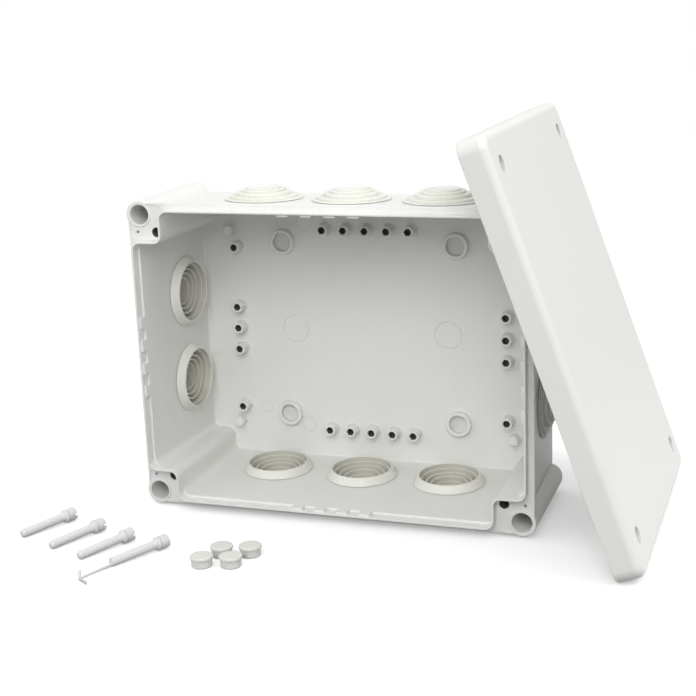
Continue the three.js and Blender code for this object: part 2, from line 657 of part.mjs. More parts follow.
function piece(name, geometry, shade) {
  const mesh = new THREE.Mesh(geometry, new THREE.MeshStandardMaterial(SHADES[shade]));
  mesh.name = name;
  return mesh;
}

const FLOOR = -(HALF_HEIGHT - wallInset(GLAND_DEPTH) + GLAND_HEIGHT);

// Base and glands, measured from the ledge.
function baseGroup() {
  const group = new THREE.Group();
  const places = glandPlaces();
  group.add(piece('base', geometryOf(baseSolid(places.map(glandHole))), 'base'));
  for (const { name, at, turn } of places) {
    const gland = piece(name, glandGeometry(), 'gland');
    gland.position.copy(at);
    gland.rotation.y = turn;
    group.add(gland);
  }
  return group;
}

// How deep below the lid's ledge plane a tube's axis lies when it bears on the hollow side at a place
// along the lid: on the face, on the crest of the rib or on the rim, whichever it meets first.
function bearingDepth(along) {
  const touch = TUBE_RADIUS + SEAT_GAP;
  const ribLine = HALF_WIDTH - CAVITY_INSET + LIP_STEP - GROOVE_SIDE - RIB_THICKNESS;
  const bearings = [
    [0, LID_FACE - LID_DEPTH], [ribLine, GROOVE_FLOOR + RIB_HEIGHT], [HALF_WIDTH - LID_WALL, 0],
  ];
  return Math.max(...bearings.map(([from, level]) => {
    const short = Math.max(0, from - along);
    return short < touch ? level + Math.sqrt(touch * touch - short * short) : -LID_DEPTH;
  }));
}

// The lid stands on its short rim edge and leans back on the tube at the top right corner, which
// reaches into its hollow side.
function lidGroup() {
  const group = new THREE.Group();
  group.add(piece('lid', geometryOf(lidSolid()), 'lid'));
  group.add(piece('lid_gasket', geometryOf(gasketSolid()), 'gasket'));
  const [s, c] = [Math.sin(LID_LEAN), Math.cos(LID_LEAN)];
  group.quaternion.setFromRotationMatrix(new THREE.Matrix4().makeBasis(
    new THREE.Vector3(-s, 0, c), new THREE.Vector3(-c, 0, -s), new THREE.Vector3(0, -1, 0),
  ));
  const z = FLOOR + HALF_WIDTH * c;
  let depth = bearingDepth(0);
  for (let k = 0; k < BEARING_ROUNDS; k += 1) depth = bearingDepth((TUBE_Z - z + depth * s) / c);
  const x = TUBE_X + (depth + (TUBE_Z - z) * s) / c;
  group.position.set(x, LID_SETBACK, z);
  return group;
}

function layScrew(mesh, [acrossShare, frontShare], heading, tipFrom) {
  const tilt = lyingTilt(tipFrom);
  mesh.rotation.order = 'ZYX';
  mesh.rotation.set(tilt - Math.PI / 2, 0, heading - Math.PI / 2);
  const lift = SHANK_RADIUS * Math.cos(tilt) - tipFrom * Math.sin(tilt);
  mesh.position.set(acrossShare * HALF_WIDTH, -frontShare * BASE_DEPTH, FLOOR + lift);
  return mesh;
}

function looseGroup() {
  const group = new THREE.Group();
  SCREW_TIP_SHARES.forEach((place, k) => {
    const tailed = k === SCREW_TIP_SHARES.length - 1;
    const solid = tailed ? screwSolid(true).add(tailSolid()) : screwSolid(false);
    const mesh = piece(tailed ? 'lid_screw_tailed' : `lid_screw_${k + 1}`, geometryOf(solid), 'screw');
    group.add(layScrew(mesh, place, SCREW_HEADINGS[k], tailed ? 0 : TIP_LENGTH));
  });
  const spot = new THREE.Vector3(CAP_SPOT_SHARES[0] * HALF_WIDTH, -CAP_SPOT_SHARES[1] * BASE_DEPTH, FLOOR);
  CAP_OFFSET_SHARES.forEach(([across, back], k) => {
    const mesh = piece(`cap_${k + 1}`, geometryOf(capSolid()), 'cap');
    const offset = new THREE.Vector3(across, back, 0).multiplyScalar(CAP_FLANGE_RADIUS);
    mesh.position.addVectors(spot, offset);
    group.add(mesh);
  });
  return group;
}

const junctionBox = new THREE.Group();
junctionBox.add(baseGroup(), lidGroup(), looseGroup());
junctionBox.position.y = -BASE_DEPTH;
junctionBox.updateMatrixWorld(true);

export default junctionBox;
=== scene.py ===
import math
import bmesh
import bpy
from mathutils import Matrix, Vector


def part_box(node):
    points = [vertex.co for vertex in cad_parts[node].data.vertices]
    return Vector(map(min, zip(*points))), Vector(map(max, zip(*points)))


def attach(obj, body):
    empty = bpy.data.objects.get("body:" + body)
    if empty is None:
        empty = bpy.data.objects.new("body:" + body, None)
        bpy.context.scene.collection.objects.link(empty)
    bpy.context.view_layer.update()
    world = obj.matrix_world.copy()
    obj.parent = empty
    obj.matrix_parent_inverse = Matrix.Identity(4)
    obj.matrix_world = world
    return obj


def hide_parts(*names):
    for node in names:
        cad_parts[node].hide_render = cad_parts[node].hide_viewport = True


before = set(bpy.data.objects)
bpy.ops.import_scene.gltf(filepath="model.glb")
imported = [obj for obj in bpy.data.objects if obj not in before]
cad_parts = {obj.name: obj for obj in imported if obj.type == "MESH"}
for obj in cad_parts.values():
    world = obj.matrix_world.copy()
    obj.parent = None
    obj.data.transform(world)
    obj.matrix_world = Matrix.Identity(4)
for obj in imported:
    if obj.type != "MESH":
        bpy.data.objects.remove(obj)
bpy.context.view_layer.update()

# Electrical junction box, shown open. The meshes are made in millimetres, in the frame of the CAD
# model, with depths counted from the ledge of the base backwards, and set down in metres.

MM = 0.001
DEG = math.pi / 180
WELD = 0.002
OVERRUN = 1.0
SINK = 0.5

# A cutter's mouth for a rounded edge, in shares of the edge's radius
MOUTH_OUTSET = 1.4
MOUTH_LEAD = 0.2
MOUTH_WAIST = 0.29


def corners_of(node):
    low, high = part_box(node)
    return Vector(low) / MM, Vector(high) / MM


BASE_LOW, BASE_HIGH = corners_of("base")
FLOOR = corners_of("gland_bottom_1")[0].z

# Outside of the box and walls of the base
HALF_WIDTH = BASE_HIGH.x
HALF_HEIGHT = BASE_HIGH.z
LIP_HEIGHT = 5.8
BASE_DEPTH = -BASE_LOW.y - LIP_HEIGHT
WALL = 2.3
BACK_WALL = 2.2
DRAFT_ANGLE = 1.7 * DEG
CAVITY_INSET = 6.3
LEDGE_SETBACK = 0.2
SKIRT_INSET = 0.8
SKIRT_DEPTH = 3.0
FLARE_DEPTH = 4.0
FLARE_STEPS = 6
BACK_EDGE = 1.2
OUTER_CORNER_RADIUS = 9.0
CAVITY_CORNER_RADIUS = 4.0
CAVITY_DEPTH = BASE_DEPTH - BACK_WALL
FLOOR_FILLET = 1.2

# Sealing lip and the teeth behind it
LIP_THICKNESS = 1.2
LIP_STEP = 1.2
LIP_EDGE = 0.38
TOOTH_WIDTH = 6.2
TOOTH_PITCH = 12.7
TOOTH_COUNT = 4
TOOTH_SETBACK = 1.2
TOOTH_EDGE = 0.35

# Corner pillars
PILLAR_SIZE = 22.0
PILLAR_RADIUS = 4.5
TUBE_RADIUS = 7.4
TUBE_BORE_RADIUS = 5.3
TUBE_FLOOR = 5.0
TUBE_END_RADIUS = 4.5
TUBE_EDGE = 0.45
TUBE_FLOOR_RADIUS = 1.0
WALL_SCREW_RADIUS = 2.7
WALL_SCREW_SINK = 0.5
RING_WIDTH = 1.2
RIM_INSET = 2.0
FACE_RECESS = 0.6
FACE_EDGE = 0.3
LID_SCREW_INSET = 16.7
PILOT_RADIUS = 2.6
PILOT_DEPTH = 30.0
PILOT_EDGE = 0.3
PILOT_END_EDGE = 0.5
TIE_HOLE_RADIUS = 0.8
TIE_HOLE_INSET = 5.7
TIE_HOLE_DEPTH = 8.0
TIE_HOLE_EDGE = 0.15
POCKET_DEPTH = 50.0
POCKET_WALL = 2.0
POCKET_RADIUS = 2.0
TUBE_X = HALF_WIDTH - TUBE_RADIUS
TUBE_Z = HALF_HEIGHT - TUBE_RADIUS
SCREW_X = HALF_WIDTH - LID_SCREW_INSET
SCREW_Z = HALF_HEIGHT - LID_SCREW_INSET

# Back wall
FOOT_FILLET = 0.4
POST_RADIUS = 3.2
POST_BASE_RADIUS = 3.6
POST_HOLE_RADIUS = 2.05
POST_HOLE_RIB = 0.3
POST_HOLE_LOBES = 6
POST_MOUTH_WIDTH = 0.3
POST_MOUTH_DEPTH = 0.5
POST_HEIGHT = 6.7
POST_EDGE = 0.4
POST_PITCH = 12.6
POST_ROW_COUNT = 5
POST_COLUMN_COUNT = 3
POST_ROW_HEIGHT = 58.9
POST_COLUMN_OFFSET = 79.5
POST_OUTER_HEIGHT = 47.7
BOSS_RADIUS = 7.2
BOSS_BORE_RADIUS = 5.3
BOSS_HEIGHT = 3.4
BOSS_EDGE = 0.45
BOSS_OFFSET = 51.0
STUB_RADIUS = 3.0
STUB_HEIGHT = 6.2
STUB_EDGE = 0.8
STUB_X = 83.0
STUB_Z = 57.6
KNOCKOUT_RADIUS = 8.0
KNOCKOUT_OFFSET = 45.5
SCORE_WIDTH = 0.5
SCORE_DEPTH = 0.35

# Stepped cable glands
GLAND_PITCH = 51.0
GLAND_DEPTH = 49.4
GLAND_HEIGHT = 6.6
GLAND_NECK_RADIUS = 17.6
GLAND_NECK_CLEARANCE = 0.4
GLAND_FLANGE_RADIUS = 21.6
GLAND_FLANGE = 0.7
GLAND_FLANGE_EDGE = 0.3
GLAND_SEAT = 0.3
GLAND_STEP_RADII = [18.8, 15.0, 12.0, 9.8]
GLAND_STEP_HEIGHTS = [0.36 * GLAND_HEIGHT, 0.66 * GLAND_HEIGHT, 0.88 * GLAND_HEIGHT, GLAND_HEIGHT]
GLAND_STEP_EDGE = 0.55
GLAND_GROOVE = 0.35
GLAND_DISH = 0.7
GLAND_DISH_RADIUS = 7.6
GLAND_DISH_SLOPE = 0.8
GLAND_DISH_FILLET = 0.4
GLAND_SKIN = 1.2
GLAND_COLLAR_RADIUS = 20.2
GLAND_COLLAR_HEIGHT = 4.2
GLAND_MOUTH_RADIUS = 16.9
GLAND_RIM_WIDTH = 0.5
GLAND_RIM_EDGE = 0.4
GLAND_RING_RADII = [15.4, 12.3, 9.8, 7.45]
GLAND_RING_WIDTH = 0.75
GLAND_RING_CRESTS = [-4.1, -2.8, -1.5, 0.4]
GLAND_RING_EDGE = 0.15
GLAND_RING_WALL = 0.9
GLAND_DISC_STEP = 0.3

# The map of painted shade on faces far down in a hollow, and how near a face has to be to belong to it
SHADE_MAP = "hollow"
NEAR_WALL = 0.05
NEAR_LEVEL = 0.3
NEAR_STEP = 0.35
LEVEL_NORMAL = 0.4
HOLLOW_FROM = -6.2
DISC_FROM = 4.0
DISC_MARGIN = 0.4
DISC_SHADE_SHARE = 0.55
RING_SHADE_SHARE = 0.14
HOLE_START = 0.6
PILOT_START = 1.5

# Lid
LID_DEPTH = 14.0
LID_FACE = 2.2
LID_WALL = 2.4
LID_EDGE_RADIUS = 4.0
LID_RIM_EDGE = 0.45
LID_INNER_RADIUS = 5.0
LID_LEAN = 20.0 * DEG
LID_SETBACK = 38.0
HEAD_BORE_RADIUS = 4.2
HEAD_BORE_DEPTH = 6.2
HEAD_BORE_WALL = 1.2
HEAD_BORE_EDGE = 0.5
LID_BOSS_EDGE = 0.4
SHANK_HOLE_RADIUS = 2.6
GASKET_THICKNESS = 1.8
GASKET_SQUEEZE = 0.5
GASKET_EDGE = 0.45
SEAT_GAP = 0.3
GROOVE_SIDE = 0.9
RIB_THICKNESS = 1.2
RIB_HEIGHT = 3.9
RIB_EDGE = 0.3
GROOVE_FLOOR = -(LIP_HEIGHT - GASKET_SQUEEZE + GASKET_THICKNESS + SEAT_GAP)

# Lid screws
SCREW_LENGTH = 34.0
SHANK_RADIUS = 2.4
TIP_RADIUS = 1.5
TIP_LENGTH = 1.2
TIP_EDGE = 0.4
HEAD_LENGTH = 6.5
HEAD_RADIUS = 3.55
HEAD_EDGE = 0.25
HEAD_ROUNDING = 0.7
COLLAR_RADIUS = 3.7
COLLAR_THICKNESS = 1.2
COLLAR_EDGE = 0.3
NECK_LENGTH = 0.9
NECK_RIM = 0.1
HEAD_GROOVE_RADIUS = 3.0
HEAD_GROOVE_WIDTH = 0.5
THREAD_PITCH = 1.9
THREAD_DEPTH = 0.22
THREAD_COUNT = 12
THREAD_SHARES = (0.25, 0.4, 0.65)
SLOT_WIDTH = 1.8
SLOT_DEPTH = 2.4
SLOT_EDGE = 0.25
TAILED_SLOT_TURN = 55 * DEG
TAIL_RADIUS = 0.8
TAIL_TAPER = 0.85
TAIL_EDGE = 0.3
TAIL_SINK = 0.2
TAIL_LENGTH = 25.5
TAIL_BEND = -21.7 * DEG
TAIL_RISE = 3.3
BARB_LENGTH = 5.6
BARB_WIDTH = 1.4
BARB_THICKNESS = 1.2
BARB_EDGE = 0.3
BARB_ANGLE = 48.6 * DEG
BARB_ROLL = 60.8 * DEG
SCREW_TIP_SHARES = [(-1.3958, 0.8229), (-1.183, 0.9561), (-0.9891, 1.0661), (-0.8025, 1.1063)]
SCREW_HEADINGS = [64.6 * DEG, 64.9 * DEG, 63.8 * DEG, 60.9 * DEG]

# Blanking caps
CAP_RADIUS = 5.25
CAP_FLANGE_RADIUS = 5.9
CAP_FLANGE = 1.6
CAP_HEIGHT = 5.8
CAP_CHAMFER = 0.5
CAP_EDGE = 0.2
CAP_NECK_DEPTH = 0.2
CAP_NECK_HEIGHT = 0.3
CAP_FLANGE_EDGE = 0.3
CAP_TOP_EDGE = 0.45
CAP_SLIT_OFFSET = 0.65
CAP_SLIT_WIDTH = 0.45
CAP_SLIT_HEIGHT = 2.2
CAP_SLIT_DEPTH = 0.8
CAP_SPOT_SHARES = (-0.3146, 0.8272)
CAP_OFFSET_SHARES = [(-1.593, -1.524), (-0.824, 0.89), (0.842, -0.929), (1.573, 1.563)]
CAP_TURNS = [150 * DEG, -11 * DEG, 165 * DEG, -12 * DEG]

CORNERS = ((1, 1), (1, -1), (-1, 1), (-1, -1))
ROUND_STEPS = {"edge": 3, "fillet": 4, "corner": 8, "post": 32, "screw": 40, "tube": 64, "gland": 96}

# Mesh tools


def flat_face(bm, places, radii):
    """A face through the places, each corner rounded by its radius."""
    before = set(bm.faces)
    corners = [bm.verts.new(place) for place in places]
    bm.faces.new(corners)
    for radius in sorted(set(radii) - {0}):
        picked = [corner for corner, own in zip(corners, radii) if own == radius]
        steps = ROUND_STEPS["corner"] if radius > 1 else ROUND_STEPS["edge"]
        bmesh.ops.bevel(bm, geom=picked, affect="VERTICES", offset=radius, offset_type="OFFSET",
                        segments=steps, profile=0.5, material=-1, clamp_overlap=False)
    return [face for face in bm.faces if face not in before][0]


def loft(stations):
    """A closed solid through outlines at growing depths along Y; an outline's corners are (x, z, radius)."""
    bm = bmesh.new()
    faces = []
    for depth, outline in stations:
        places = [(x, depth, z) for x, z, radius in outline]
        faces.append(flat_face(bm, places, [radius for x, z, radius in outline]))
    for near, far in zip(faces, faces[1:]):
        bmesh.ops.bridge_loops(bm, edges=near.edges[:] + far.edges[:])
    bmesh.ops.delete(bm, geom=faces[1:-1], context="FACES_ONLY")
    bmesh.ops.recalc_face_normals(bm, faces=bm.faces)
    return bm


def slab(outline, start, end):
    return loft([(start, outline), (end, outline)])


def turned(profile, steps):
    """A solid turned about Y from (radius, height) or (radius, height, rounding) corners."""
    bm = bmesh.new()
    places = [(corner[0], corner[1], 0) for corner in profile]
    face = flat_face(bm, places, [corner[2] if len(corner) > 2 else 0 for corner in profile])
    bmesh.ops.delete(bm, geom=[face], context="FACES_ONLY")
    on_axis = [edge for edge in bm.edges if all(abs(vert.co.x) < WELD for vert in edge.verts)]
    bmesh.ops.delete(bm, geom=on_axis, context="EDGES")
    bmesh.ops.spin(bm, geom=bm.verts[:] + bm.edges[:], cent=(0, 0, 0), axis=(0, 1, 0), dvec=(0, 0, 0),
                   angle=2 * math.pi, steps=steps, use_merge=True, use_duplicate=False)
    return bm


def moved(bm, x=0, y=0, z=0):
    bmesh.ops.translate(bm, verts=bm.verts, vec=(x, y, z))
    return bm


def turn_up(bm):
    """What was made along Y stands along Z."""
    bmesh.ops.rotate(bm, verts=bm.verts, cent=(0, 0, 0), matrix=Matrix.Rotation(math.pi / 2, 3, "X"))
    return bm


def round_rim(bm, depth, radius, steps=ROUND_STEPS["edge"]):
    """Rounds the edges that lie at one depth."""
    rim = [edge for edge in bm.edges if all(abs(vert.co.y - depth) < WELD for vert in edge.verts)]
    bmesh.ops.bevel(bm, geom=rim, affect="EDGES", offset=radius, offset_type="OFFSET", segments=steps,
                    profile=0.5, material=-1, clamp_overlap=False)
    return bm


def block(low, high, edge=0.0):
    """A box between two corners, its edges rounded."""
    bm = bmesh.new()
    bmesh.ops.create_cube(bm, size=1)
    low, high = Vector(low), Vector(high)
    bmesh.ops.scale(bm, verts=bm.verts, vec=[abs(side) for side in high - low])
    bmesh.ops.translate(bm, verts=bm.verts, vec=(low + high) / 2)
    if edge:
        bmesh.ops.bevel(bm, geom=bm.edges[:], affect="EDGES", offset=edge, offset_type="OFFSET",
                        segments=2, profile=0.5, material=-1, clamp_overlap=True)
    return bm


def solid(*meshes):
    """One work object from closed meshes that don't touch each other."""
    whole = bpy.data.meshes.new("work")
    total = bmesh.new()
    for bm in meshes:
        bmesh.ops.remove_doubles(bm, verts=bm.verts, dist=WELD)
        bmesh.ops.recalc_face_normals(bm, faces=bm.faces)
        bm.to_mesh(whole)
        total.from_mesh(whole)
        bm.free()
    total.to_mesh(whole)
    total.free()
    obj = bpy.data.objects.new("work", whole)
    bpy.context.scene.collection.objects.link(obj)
    return obj


def fitted(obj, operation, tools):
    """Work objects are cut from, or joined to, another one; they are used up."""
    for tool in tools:
        fit = obj.modifiers.new("fit", "BOOLEAN")
        fit.operation = operation
        fit.solver = "MANIFOLD"
        fit.object = tool
    bpy.context.view_layer.update()
    graph = bpy.context.evaluated_depsgraph_get()
    result = bpy.data.meshes.new_from_object(obj.evaluated_get(graph))
    obj.modifiers.clear()
    obj.data = result
    for tool in tools:
        bpy.data.objects.remove(tool)
    return obj


def cut(obj, *tools):
    return fitted(obj, "DIFFERENCE", tools)


def join(obj, *tools):
    return fitted(obj, "UNION", tools)


def copies(obj, places):
    """One work object from an object's mesh, set down at each place."""
    total = bmesh.new()
    for place in places:
        shifted = obj.data.copy()
        shifted.transform(place)
        total.from_mesh(shifted)
    total.to_mesh(obj.data)
    total.free()
    return obj


def flared(depth, edge):
    """Depths and outsets of a cutter's mouth that leaves a rounded edge."""
    return [(depth - OVERRUN, MOUTH_OUTSET * edge), (depth - MOUTH_LEAD * edge, MOUTH_OUTSET * edge),
            (depth + MOUTH_WAIST * edge, MOUTH_WAIST * edge), (depth + edge, 0.0)]


def bore(radius, mouth, floor, edge, steps=ROUND_STEPS["tube"], lead=OVERRUN):
    """A cutter for a round hole from its rounded mouth to its floor."""
    rim = [(radius + outset, depth) for depth, outset in flared(mouth, edge)]
    return turned([(0, mouth - lead), (rim[0][0], mouth - lead), *rim[1:], (radius, floor), (0, floor)], steps)


def four_corners(make):
    return [make(i, j) for i, j in CORNERS]


# Outlines


def rectangle(half_width, half_height, radius):
    signs = ((1, -1), (1, 1), (-1, 1), (-1, -1))
    return [(i * half_width, j * half_height, radius) for i, j in signs]


def seal_line(outset, walls=0.0):
    """The line of the sealing lip, along the walls and round the inside of each pillar."""
    wide = HALF_WIDTH - CAVITY_INSET + LIP_STEP + outset + walls
    tall = HALF_HEIGHT - CAVITY_INSET + LIP_STEP + outset + walls
    x = HALF_WIDTH - PILLAR_SIZE + outset
    z = HALF_HEIGHT - PILLAR_SIZE + outset
    outer = CAVITY_CORNER_RADIUS + outset
    nose = PILLAR_RADIUS - outset
    quarter = [(x, tall, outer), (x, z, nose), (wide, z, outer)]

    def mirror(i, j):
        return [(i * px, j * pz, radius) for px, pz, radius in quarter]

    return mirror(1, -1) + mirror(1, 1)[::-1] + mirror(-1, 1) + mirror(-1, -1)[::-1]


def wall_slope(depth):
    return depth * math.tan(DRAFT_ANGLE)


def wall_inset(depth):
    return CAVITY_INSET - WALL + wall_slope(depth)


# Base


def base_shell():
    """Skirt, rounded flare, drafted wall and rounded back edge."""
    bend = SKIRT_DEPTH + FLARE_DEPTH
    insets = [(LEDGE_SETBACK, SKIRT_INSET)]
    for k in range(FLARE_STEPS + 1):
        share = k / FLARE_STEPS
        ease = share * share * (3 - 2 * share)
        insets.append((SKIRT_DEPTH + share * FLARE_DEPTH, SKIRT_INSET + ease * (wall_inset(bend) - SKIRT_INSET)))
    insets.append((BASE_DEPTH, wall_inset(BASE_DEPTH)))
    bm = loft([
        (depth, rectangle(HALF_WIDTH - inset, HALF_HEIGHT - inset, OUTER_CORNER_RADIUS)) for depth, inset in insets
    ])
    round_rim(bm, LEDGE_SETBACK, LIP_EDGE)
    round_rim(bm, BASE_DEPTH, BACK_EDGE, ROUND_STEPS["fillet"])
    return solid(bm)


def corner_tube(i, j):
    profile = [(0, 0), (TUBE_RADIUS, 0, TUBE_EDGE), (TUBE_RADIUS, BASE_DEPTH, TUBE_END_RADIUS), (0, BASE_DEPTH)]
    return moved(turned(profile, ROUND_STEPS["tube"]), x=i * TUBE_X, z=j * TUBE_Z)


def pillar_face(i, j):
    """Cutter for the shallow floor between the lip, the outer rim and the ring of the tube."""
    half = (PILLAR_SIZE - RIM_INSET - LIP_THICKNESS / 2) / 2
    x = i * (HALF_WIDTH - RIM_INSET - half)
    z = j * (HALF_HEIGHT - RIM_INSET - half)
    stations = flared(0, FACE_EDGE) + [(FACE_RECESS, 0.0)]
    corner = TUBE_RADIUS - RIM_INSET
    recess = loft([
        (depth, [(x + a, z + b, radius)
                 for a, b, radius in rectangle(half + outset, half + outset, corner + outset)])
        for depth, outset in stations
    ])
    ring = TUBE_BORE_RADIUS + RING_WIDTH
    neck = ring - MOUTH_OUTSET * FACE_EDGE
    core = turned([(0, -2 * OVERRUN), (neck, -2 * OVERRUN), (neck, -MOUTH_LEAD * FACE_EDGE),
                   (ring - MOUTH_WAIST * FACE_EDGE, MOUTH_WAIST * FACE_EDGE), (ring, FACE_EDGE),
                   (ring, BASE_DEPTH), (0, BASE_DEPTH)], ROUND_STEPS["tube"])
    return cut(solid(recess), solid(moved(core, x=i * TUBE_X, z=j * TUBE_Z)))


def pillar_pocket(i, j):
    """Cutter for the room behind a pillar, round its tube and screw boss."""
    outer = wall_inset(BASE_DEPTH) + WALL
    inner = PILLAR_SIZE - POCKET_WALL
    start, end = BASE_DEPTH - POCKET_DEPTH, BASE_DEPTH + 2 * OVERRUN
    pocket = block((i * (HALF_WIDTH - inner), start, j * (HALF_HEIGHT - inner)),
                   (i * (HALF_WIDTH - outer), end, j * (HALF_HEIGHT - outer)), POCKET_RADIUS)
    tube = turned([(0, start - OVERRUN), (TUBE_RADIUS, start - OVERRUN), (TUBE_RADIUS, BASE_DEPTH, TUBE_END_RADIUS),
                   (0, BASE_DEPTH)], ROUND_STEPS["tube"])
    boss_end = PILOT_DEPTH + POCKET_WALL
    boss = turned([(0, start - OVERRUN), (PILOT_RADIUS + POCKET_WALL, start - OVERRUN),
                   (PILOT_RADIUS + POCKET_WALL, boss_end, PILOT_END_EDGE), (0, boss_end)], ROUND_STEPS["post"])
    return cut(solid(pocket), solid(moved(tube, x=i * TUBE_X, z=j * TUBE_Z)),
               solid(moved(boss, x=i * SCREW_X, z=j * SCREW_Z)))


def tube_hole(i, j):
    rim = [(TUBE_BORE_RADIUS + outset, depth) for depth, outset in flared(0, TUBE_EDGE)]
    floor = BASE_DEPTH - TUBE_FLOOR
    end = BASE_DEPTH + OVERRUN
    profile = [(0, -OVERRUN), *rim, (TUBE_BORE_RADIUS, floor, TUBE_FLOOR_RADIUS), (WALL_SCREW_RADIUS, floor),
               (WALL_SCREW_RADIUS, BASE_DEPTH - WALL_SCREW_SINK),
               (WALL_SCREW_RADIUS + WALL_SCREW_SINK + OVERRUN, end), (0, end)]
    return moved(turned(profile, ROUND_STEPS["tube"]), x=i * TUBE_X, z=j * TUBE_Z)


def pilot_hole(i, j):
    return moved(bore(PILOT_RADIUS, FACE_RECESS, PILOT_DEPTH, PILOT_EDGE, ROUND_STEPS["post"], 2 * OVERRUN),
                 x=i * SCREW_X, z=j * SCREW_Z)


def tie_hole(i, j):
    hole = bore(TIE_HOLE_RADIUS, FACE_RECESS, TIE_HOLE_DEPTH, TIE_HOLE_EDGE, ROUND_STEPS["post"], 2 * OVERRUN)
    return moved(hole, x=i * (HALF_WIDTH - TIE_HOLE_INSET), z=j * SCREW_Z)


def tooth(place, reach, side, on_side):
    """One tooth behind the lip: its place along a wall, and which wall it stands on."""
    near, far = side * (reach - LIP_STEP - OVERRUN), side * (reach + OVERRUN)
    low, high = place - TOOTH_WIDTH / 2, place + TOOTH_WIDTH / 2
    front, back = TOOTH_SETBACK - LIP_HEIGHT, SINK
    if on_side:
        return block((near, front, low), (far, back, high), TOOTH_EDGE)
    return block((low, front, near), (high, back, far), TOOTH_EDGE)


def teeth():
    wide = HALF_WIDTH - CAVITY_INSET + LIP_STEP
    tall = HALF_HEIGHT - CAVITY_INSET + LIP_STEP
    found = []
    for k in range(TOOTH_COUNT):
        place = (k - (TOOTH_COUNT - 1) / 2) * TOOTH_PITCH
        for side in (1, -1):
            found += [tooth(place, tall, side, False), tooth(place, wide, side, True)]
    return solid(*found)


def cavity():
    front = -LIP_HEIGHT - OVERRUN
    bm = loft([(front, seal_line(0, -LIP_STEP)), (0, seal_line(0, -LIP_STEP)),
               (CAVITY_DEPTH, seal_line(0, -LIP_STEP - wall_slope(CAVITY_DEPTH)))])
    return solid(round_rim(bm, CAVITY_DEPTH, FLOOR_FILLET, ROUND_STEPS["fillet"]))


def lip_band():
    """Cutter for the wider band behind the lip, less the teeth."""
    stations = flared(-LIP_HEIGHT, LIP_EDGE) + [(0, 0.0)]
    return cut(solid(loft([(depth, seal_line(outset)) for depth, outset in stations])), teeth())


def lip():
    bm = slab(seal_line(LIP_THICKNESS), -LIP_HEIGHT, SKIRT_DEPTH)
    return solid(round_rim(bm, -LIP_HEIGHT, LIP_EDGE))


def post_places():
    places = []
    for k in range(POST_ROW_COUNT):
        x = (k - (POST_ROW_COUNT - 1) / 2) * POST_PITCH
        places += [(x, POST_ROW_HEIGHT), (x, -POST_ROW_HEIGHT)]
    heights = [POST_OUTER_HEIGHT, -POST_OUTER_HEIGHT]
    heights += [(k - (POST_COLUMN_COUNT - 1) / 2) * POST_PITCH for k in range(POST_COLUMN_COUNT)]
    return places + [(side * POST_COLUMN_OFFSET, z) for z in heights for side in (1, -1)]


def star_hole(depth, mouth):
    """Cutter for a hole with lobes, as the screws of a terminal rail bite into."""
    bm = bmesh.new()
    count = 4 * POST_HOLE_LOBES
    made = bmesh.ops.create_circle(bm, cap_ends=True, segments=count, radius=POST_HOLE_RADIUS)
    ribs = [vert for k, vert in enumerate(made["verts"]) if k % 4 == 0]
    share = 1 - POST_HOLE_RIB / POST_HOLE_RADIUS
    bmesh.ops.scale(bm, verts=ribs, vec=(share, share, 1))
    bmesh.ops.rotate(bm, verts=bm.verts, cent=(0, 0, 0), matrix=Matrix.Rotation(math.pi / 2, 3, "X"))
    moved(bm, y=mouth)
    cap = bm.faces[:][0]
    bmesh.ops.duplicate(bm, geom=[cap])
    if cap.normal.y < 0:
        cap.normal_flip()
    bmesh.ops.inset_region(bm, faces=[cap], thickness=0, depth=depth, use_even_offset=True, use_boundary=True)
    return bm


def footing(radius):
    """The lower end of a post's or ring's side, widened where it meets the back wall."""
    return [(radius, CAVITY_DEPTH - FOOT_FILLET), (radius + FOOT_FILLET, CAVITY_DEPTH),
            (radius + FOOT_FILLET, CAVITY_DEPTH + SINK)]


def posts():
    tip = CAVITY_DEPTH - POST_HEIGHT
    foot = CAVITY_DEPTH + SINK
    profile = [(0, tip), (POST_RADIUS, tip, POST_EDGE), *footing(POST_BASE_RADIUS), (0, foot)]
    inner = POST_HOLE_RADIUS + POST_MOUTH_WIDTH
    chamfer = turned([(0, tip - OVERRUN), (inner + OVERRUN, tip - OVERRUN),
                      (inner - POST_MOUTH_DEPTH, tip + POST_MOUTH_DEPTH), (0, tip + POST_MOUTH_DEPTH)],
                     ROUND_STEPS["post"])
    one = cut(solid(turned(profile, ROUND_STEPS["post"])), solid(chamfer),
              solid(star_hole(POST_HEIGHT, tip - SINK)))
    return copies(one, [Matrix.Translation((x, 0, z)) for x, z in post_places()])


def mounting_ring(i, j):
    tip = CAVITY_DEPTH - BOSS_HEIGHT
    foot = CAVITY_DEPTH + SINK
    profile = [(BOSS_BORE_RADIUS, foot), (BOSS_BORE_RADIUS, tip, BOSS_EDGE), (BOSS_RADIUS, tip, BOSS_EDGE),
               *footing(BOSS_RADIUS)]
    return moved(turned(profile, ROUND_STEPS["tube"]), x=i * BOSS_OFFSET, z=j * BOSS_OFFSET)


def stub(i, j):
    tip = CAVITY_DEPTH - STUB_HEIGHT
    foot = CAVITY_DEPTH + SINK
    profile = [(0, tip), (STUB_RADIUS, tip, STUB_EDGE), *footing(STUB_RADIUS), (0, foot)]
    return moved(turned(profile, ROUND_STEPS["post"]), x=i * STUB_X, z=j * STUB_Z)


